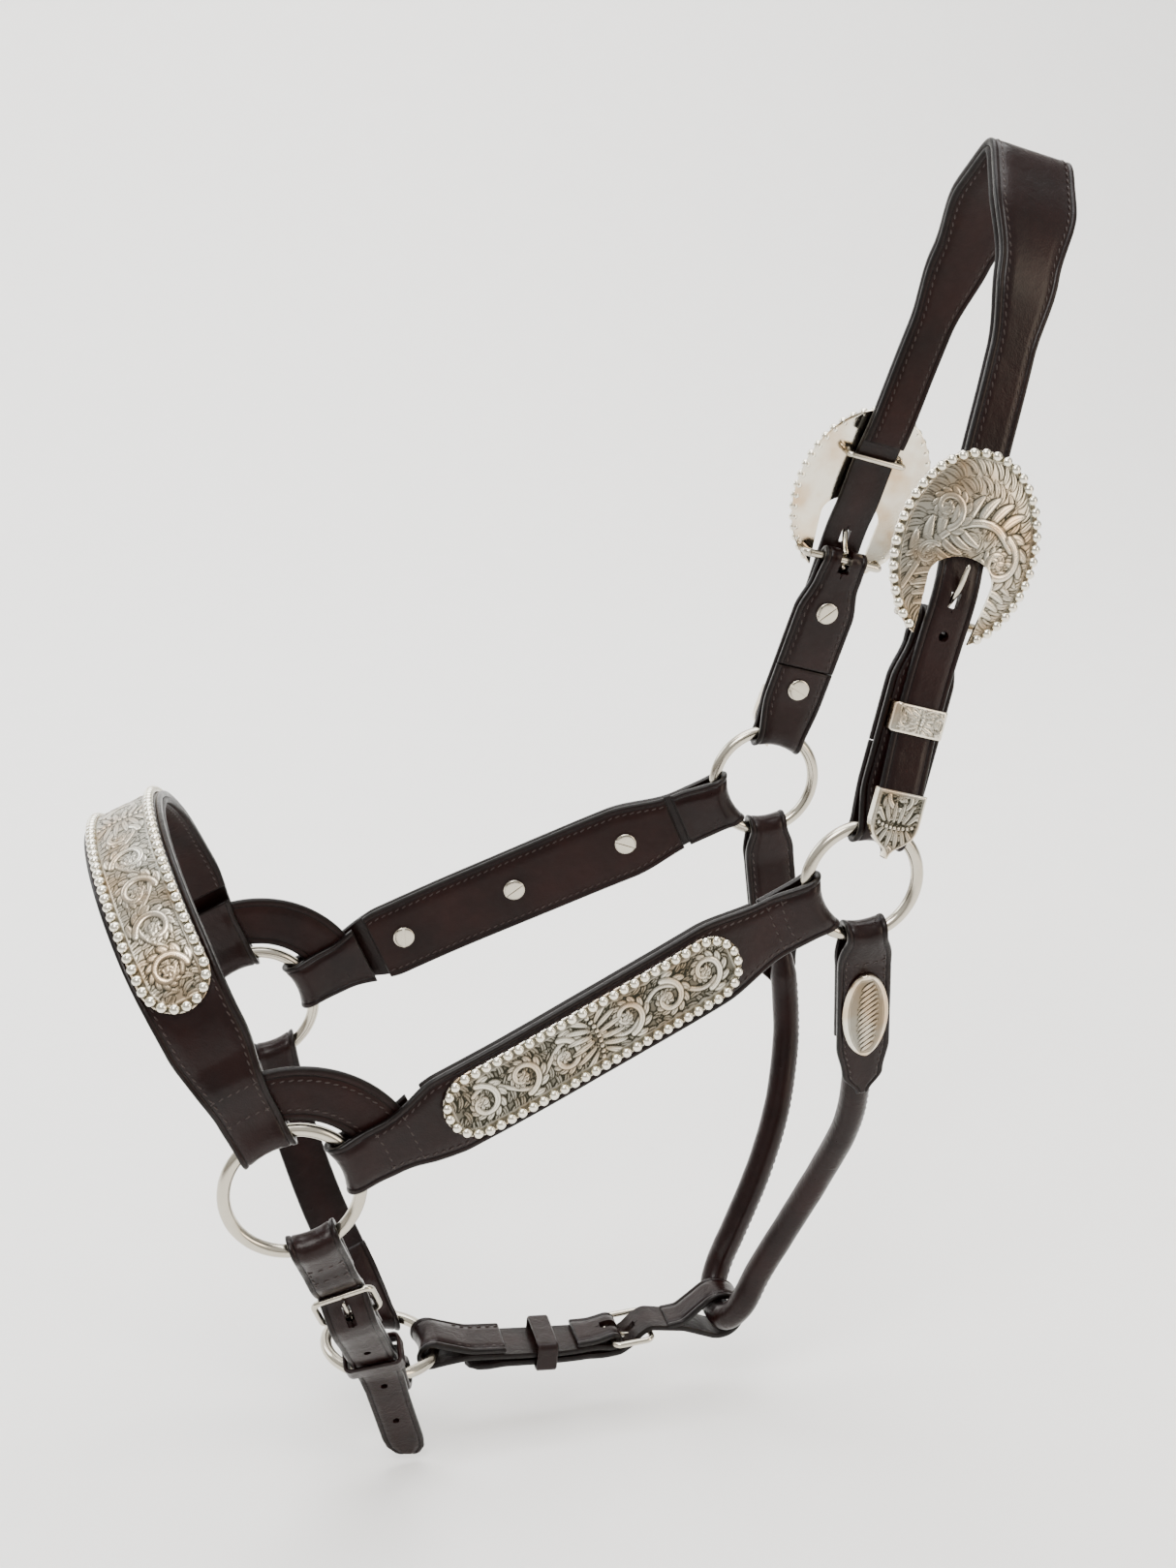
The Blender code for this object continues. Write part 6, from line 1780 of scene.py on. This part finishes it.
def bead_tree():
    """A row of round beads along a rim."""
    tree, entry, leave = new_tree("Rim beads", (
        ("Pitch", "NodeSocketFloat"), ("Size", "NodeSocketFloat"), ("Height", "NodeSocketFloat"),
        ("Material", "NodeSocketMaterial")))
    along_paths(tree, entry, leave, 12, 8, ("Size", "Size", "Height"))
    return tree


def screw_tree():
    """Slotted strap-screw heads at single points."""
    tree, entry, leave = new_tree("Slotted screw heads", (
        ("Head", "NodeSocketObject"), ("Slot turn", "NodeSocketFloat"), ("Material", "NodeSocketMaterial")))
    head = add_node(tree, "GeometryNodeObjectInfo", links={"Object": entry.outputs["Head"]})
    points = add_node(tree, "GeometryNodeMeshToPoints", links={"Mesh": entry.outputs["Geometry"]})
    turn = add_node(tree, "GeometryNodeInputIndex")
    angle = add_node(
        tree, "ShaderNodeMath", {"operation": "MULTIPLY"},
        links={0: turn.outputs["Index"], 1: entry.outputs["Slot turn"]})
    sine = add_node(tree, "ShaderNodeMath", {"operation": "SINE"}, links={0: angle.outputs[0]})
    cosine = add_node(tree, "ShaderNodeMath", {"operation": "COSINE"}, links={0: angle.outputs[0]})
    heading = add_node(tree, "ShaderNodeCombineXYZ", links={"X": cosine.outputs[0], "Z": sine.outputs[0]})
    place_instances(
        tree, entry, leave, points.outputs["Points"], head.outputs["Geometry"], heading.outputs["Vector"])
    return tree


def screw_head():
    """A low domed screw head with a straight slot, its flat side at Z = 0."""
    share = np.array((0.0, 0.30, 0.60, 0.80, 0.92, 0.985, 1.0, 1.0))
    height = np.array((1.0, 0.98, 0.92, 0.84, 0.72, 0.50, 0.30, 0.0)) * SCREW_HEAD_HEIGHT
    turns = np.arange(28) * 2.0 * math.pi / 28.0
    rows = [
        np.stack((reach * np.cos(turns), reach * np.sin(turns), np.full(28, high)), -1)
        for reach, high in zip(np.maximum(share, 0.01) * SCREW_HEAD_RADIUS, height)]
    mesh = grid_mesh("screw_head", np.array(rows))
    place = Matrix.Translation((0.0, 0.0, SCREW_HEAD_HEIGHT))
    slot_size = (SCREW_HEAD_RADIUS * 2.4, 0.0011, 0.0011)
    return cut(mesh, [box_at(place, slot_size)], "recess", 1.0)


def grow(name, tree, values, points, normals, loops):
    """Runs a tree over path points and hands back the finished mesh."""
    mesh = bpy.data.meshes.new(name)
    mesh.from_pydata(points.tolist(), loops, [])
    layer = mesh.attributes.new("facing", "FLOAT_VECTOR", "POINT")
    layer.data.foreach_set("vector", np.ascontiguousarray(normals, np.float32).ravel())
    item = bpy.data.objects.new(name, mesh)
    bpy.context.scene.collection.objects.link(item)
    change = item.modifiers.new("grow", "NODES")
    change.node_group = tree
    for socket in tree.interface.items_tree:
        if socket.item_type == "SOCKET" and socket.in_out == "INPUT" and socket.name in values:
            change[socket.identifier] = values[socket.name]
    bpy.context.view_layer.update()
    ready = item.evaluated_get(bpy.context.evaluated_depsgraph_get())
    result = bpy.data.meshes.new_from_object(ready)
    result.name = name
    bpy.data.objects.remove(item, do_unlink=True)
    bpy.data.meshes.remove(mesh)
    if not result.polygons:
        raise RuntimeError(name + ": nothing grew")
    return finish_mesh(result, 0.000001)


def grow_paths(name, tree, values, paths):
    """Runs a tree over several paths; each is (points, normals) or (points, normals, closed)."""
    points = np.vstack([path[0] for path in paths])
    normals = np.vstack([path[1] for path in paths])
    edges = []
    start = 0
    for path in paths:
        count = len(path[0])
        edges += [(start + i, start + i + 1) for i in range(count - 1)]
        if len(path) > 2 and path[2]:
            edges.append((start + count - 1, start))
        start += count
    return grow(name, tree, values, points, normals, edges)


# ======================================================================== operators and panel

class HALTER_OT_materials(bpy.types.Operator):
    """Make the leather, thread and silver materials"""
    bl_idname = "halter.materials"
    bl_label = "Materials"

    def execute(self, context):
        leather = context.scene.halter_leather
        silver = context.scene.halter_silver
        leather_material(LEATHER, list(leather.face), list(leather.edge), 0.30, 0.13)
        leather_material(LINING, list(leather.lining), list(leather.edge), 0.44, 0.04)
        engraved_silver_material(ENGRAVED, list(silver.bright), list(silver.recess))
        polished_metal_material(NICKEL, list(silver.nickel), 0.16, 0.10)
        # Burnished beads throw back more light than the worked plate.
        polished_metal_material(SILVER, scaled(silver.bright, 1.35), 0.12, 0.05)
        thread_material(THREAD, list(leather.thread))
        return {"FINISHED"}


class HALTER_OT_noseband(bpy.types.Operator):
    """Build the noseband, its lining and its silver plate"""
    bl_idname = "halter.noseband"
    bl_label = "Noseband"

    def execute(self, context):
        build_noseband()
        return {"FINISHED"}


class HALTER_OT_cheekpieces(bpy.types.Operator):
    """Build both cheekpieces with their linings, silver plates and ring guards"""
    bl_idname = "halter.cheekpieces"
    bl_label = "Cheekpieces"

    def execute(self, context):
        for side, sign in SIDES:
            build_cheekpiece(side, sign)
            build_guard(side, sign)
        return {"FINISHED"}


class HALTER_OT_rings(bpy.types.Operator):
    """Build the five wire rings"""
    bl_idname = "halter.rings"
    bl_label = "Rings"

    def execute(self, context):
        for side, sign in SIDES:
            build_ring("nose_ring_" + side, nose_ring_centre(sign), NOSE_RING_RADIUS)
            build_ring("cheek_ring_" + side, cheek_ring_centre(sign), CHEEK_RING_RADIUS)
        build_ring("chin_ring", CHIN_RING_AT, CHIN_RING_RADIUS, CHIN_RING_TILT)
        return {"FINISHED"}


class HALTER_OT_crown(bpy.types.Operator):
    """Build the crown strap, its tips, the hangers and the oval buckles"""
    bl_idname = "halter.crown"
    bl_label = "Crown"

    def execute(self, context):
        build_crown_strap()
        for side, sign in SIDES:
            build_hanger(side, sign)
            build_crown_buckle(side, sign)
        return {"FINISHED"}


class HALTER_OT_chin(bpy.types.Operator):
    """Build the chin straps with their buckle and keeper"""
    bl_idname = "halter.chin"
    bl_label = "Chin straps"

    def execute(self, context):
        build_chin()
        return {"FINISHED"}


class HALTER_OT_gullet(bpy.types.Operator):
    """Build the gullet strap with its buckle and keeper"""
    bl_idname = "halter.gullet"
    bl_label = "Gullet strap"

    def execute(self, context):
        build_gullet()
        return {"FINISHED"}


class HALTER_OT_throat(bpy.types.Operator):
    """Build the rolled throat latch, its tabs and their silver ovals"""
    bl_idname = "halter.throat"
    bl_label = "Throat latch"

    def execute(self, context):
        build_throat()
        return {"FINISHED"}


class HALTER_OT_stitching(bpy.types.Operator):
    """Sew every strap along the lines kept while building it"""
    bl_idname = "halter.stitching"
    bl_label = "Stitching"

    def execute(self, context):
        tree = stitch_tree()
        pitch = context.scene.halter_leather.stitch_pitch
        values = {
            "Pitch": pitch, "Length": pitch * STITCH_SHARE, "Thread": THREAD_WIDTH, "Slant": STITCH_SLANT,
            "Material": bpy.data.materials[THREAD]}
        for body, paths in stitch_lines.items():
            mesh = grow_paths(body + "_stitches", tree, values, paths)
            add_piece(body + "_stitches", mesh, THREAD, body)
        return {"FINISHED"}


class HALTER_OT_beads(bpy.types.Operator):
    """Set the row of beads round the nose, cheek and buckle plates"""
    bl_idname = "halter.beads"
    bl_label = "Rim beads"

    def execute(self, context):
        tree = bead_tree()
        silver = context.scene.halter_silver
        values = {
            "Pitch": silver.bead_pitch, "Size": silver.bead_size,
            "Height": silver.bead_size * BEAD_HEIGHT_SHARE, "Material": bpy.data.materials[SILVER]}
        for body, paths in bead_lines.items():
            mesh = grow_paths(body + "_beads", tree, values, paths)
            add_piece(body + "_beads", mesh, SILVER, body)
        return {"FINISHED"}


class HALTER_OT_screws(bpy.types.Operator):
    """Set the slotted strap screws"""
    bl_idname = "halter.screws"
    bl_label = "Screws"

    def execute(self, context):
        tree = screw_tree()
        head = bpy.data.objects.new("screw_head", screw_head())
        bpy.context.scene.collection.objects.link(head)
        replaced = {"halter": [], "crown": []}
        for side, _ in SIDES:
            replaced["halter"].append("nose_screw_" + side)
            replaced["halter"] += ["cheek_screw_%s_%d" % (side, i) for i in (1, 2, 3)]
            replaced["crown"] += ["hanger_screw_%s_%d" % (side, i) for i in (1, 2)]
        values = {"Head": head, "Slot turn": SLOT_TURN, "Material": bpy.data.materials[NICKEL]}
        for body, spots in screw_spots.items():
            points = np.array([spot[0] for spot in spots])
            normals = np.array([spot[1] for spot in spots])
            mesh = grow(body + "_screws", tree, values, points, normals, [])
            add_piece(body + "_screws", mesh, NICKEL, body, replaced[body], SCREW_SHARP)
        data = head.data
        bpy.data.objects.remove(head, do_unlink=True)
        bpy.data.meshes.remove(data)
        return {"FINISHED"}


class HALTER_OT_studio(bpy.types.Operator):
    """Set up the pale backdrop, the soft lights and the camera"""
    bl_idname = "halter.studio"
    bl_label = "Studio"

    def execute(self, context):
        build_studio(context.scene.halter_studio)
        return {"FINISHED"}


OPERATORS = (
    HALTER_OT_materials, HALTER_OT_noseband, HALTER_OT_cheekpieces, HALTER_OT_rings, HALTER_OT_crown,
    HALTER_OT_chin, HALTER_OT_gullet, HALTER_OT_throat, HALTER_OT_stitching, HALTER_OT_beads, HALTER_OT_screws,
    HALTER_OT_studio)


class HALTER_PT_panel(bpy.types.Panel):
    bl_label = "Silver Show Halter"
    bl_idname = "HALTER_PT_panel"
    bl_space_type = "VIEW_3D"
    bl_region_type = "UI"
    bl_category = "Halter"

    def draw(self, context):
        scene = context.scene
        for group in (scene.halter_leather, scene.halter_silver, scene.halter_studio):
            box = self.layout.box()
            for key in group.__annotations__:
                box.prop(group, key)
        for operator in OPERATORS:
            self.layout.operator(operator.bl_idname)


CLASSES = (HalterLeather, HalterSilver, HalterStudio) + OPERATORS + (HALTER_PT_panel,)


def register():
    for item in CLASSES:
        bpy.utils.register_class(item)
    bpy.types.Scene.halter_leather = PointerProperty(type=HalterLeather)
    bpy.types.Scene.halter_silver = PointerProperty(type=HalterSilver)
    bpy.types.Scene.halter_studio = PointerProperty(type=HalterStudio)


def unregister():
    del bpy.types.Scene.halter_studio
    del bpy.types.Scene.halter_silver
    del bpy.types.Scene.halter_leather
    for item in reversed(CLASSES):
        bpy.utils.unregister_class(item)


# ======================================================================== studio

def area_light(name, place, aim, size, power, colour):
    data = bpy.data.lights.new(name, "AREA")
    data.shape = "RECTANGLE"
    data.size, data.size_y = size
    data.energy = power
    data.color = colour
    item = bpy.data.objects.new(name, data)
    bpy.context.scene.collection.objects.link(item)
    item.location = place
    item.rotation_euler = (Vector(aim) - Vector(place)).to_track_quat("-Z", "Y").to_euler()


def build_studio(settings):
    low = CAD_BOX[0][2] - settings.floor_drop
    paper_material("Seamless paper", list(settings.floor))
    # The floor sweeps up into a backdrop behind the halter.
    run = [(-FLOOR_REACH, low), (SWEEP, low)]
    for a in np.linspace(0.1, math.pi / 2.0, 16):
        run.append((SWEEP + SWEEP * math.sin(a), low + SWEEP - SWEEP * math.cos(a)))
    run += [(2.0 * SWEEP, low + BACKDROP_RISE)]
    verts = [(x, y, z) for y, z in run for x in (-FLOOR_REACH, FLOOR_REACH)]
    faces = [[2 * i, 2 * i + 1, 2 * i + 3, 2 * i + 2] for i in range(len(run) - 1)]
    mesh = bpy.data.meshes.new("backdrop")
    mesh.from_pydata(verts, [], faces)
    mesh.shade_smooth()
    floor = bpy.data.objects.new("backdrop", mesh)
    mesh.materials.append(bpy.data.materials["Seamless paper"])
    bpy.context.scene.collection.objects.link(floor)
    aim = (0.17, 0.0, 0.0)
    power = settings.key_power
    area_light("key_light", (-0.5, -1.2, 1.7), aim, (0.9, 0.9), power * 0.7, (1.0, 0.98, 0.95))
    area_light("top_light", (0.3, 0.4, 2.4), aim, (2.2, 2.2), power * 1.6, (1.0, 1.0, 1.0))
    area_light("warm_fill", (1.5, -1.1, 0.5), aim, (0.5, 1.2), power * 0.25, (1.0, 0.84, 0.66))
    area_light("back_fill", (-1.2, 1.1, 0.9), aim, (0.8, 0.8), power * 0.25, (0.92, 0.96, 1.0))
    area_light("backdrop_light", (0.2, 0.9, 2.2), (0.2, 2.6, 0.6), (3.0, 0.8), power * 1.2, (1.0, 1.0, 1.0))
    world = bpy.data.worlds.new("pale_room")
    world.use_nodes = True
    tree = world.node_tree
    place = add_node(tree, "ShaderNodeTexCoord").outputs["Generated"]
    parts = add_node(tree, "ShaderNodeSeparateXYZ", links={"Vector": place})
    level = add_node(tree, "ShaderNodeMapRange", inputs={1: -1.0, 2: 1.0}, links={0: parts.outputs["Z"]})
    ramp = add_node(tree, "ShaderNodeValToRGB", links={"Fac": level.outputs[0]})
    # A darker band low round the room gives the polished metal something to reflect.
    for element, at, code in zip(ramp.color_ramp.elements, (0.44, 0.66), ("857a6e", "f2f1ee")):
        element.position = at
        element.color = (*linear(code), 1.0)
    tree.links.new(ramp.outputs["Color"], tree.nodes["Background"].inputs["Color"])
    tree.nodes["Background"].inputs["Strength"].default_value = 1.0
    bpy.context.scene.world = world

    ca, sa = math.cos(CAMERA_AZIMUTH), math.sin(CAMERA_AZIMUTH)
    ce, se = math.cos(CAMERA_ELEVATION), math.sin(CAMERA_ELEVATION)
    right = (ca, sa, 0.0)
    up = (-se * sa, se * ca, ce)
    back = (sa * ce, -ca * ce, se)
    data = bpy.data.cameras.new("main_camera")
    data.sensor_fit = "VERTICAL"
    data.sensor_height = SENSOR_HEIGHT
    data.lens = LENS
    data.dof.use_dof = False
    camera = bpy.data.objects.new("main_camera", data)
    bpy.context.scene.collection.objects.link(camera)
    camera.matrix_world = basis(CAMERA_AT, right, up, back)
    bpy.context.scene.camera = camera


# ======================================================================== run

def main():
    register()
    for operator in OPERATORS:
        group, action = operator.bl_idname.split(".")
        getattr(getattr(bpy.ops, group), action)()


if __name__ == "__main__":
    main()
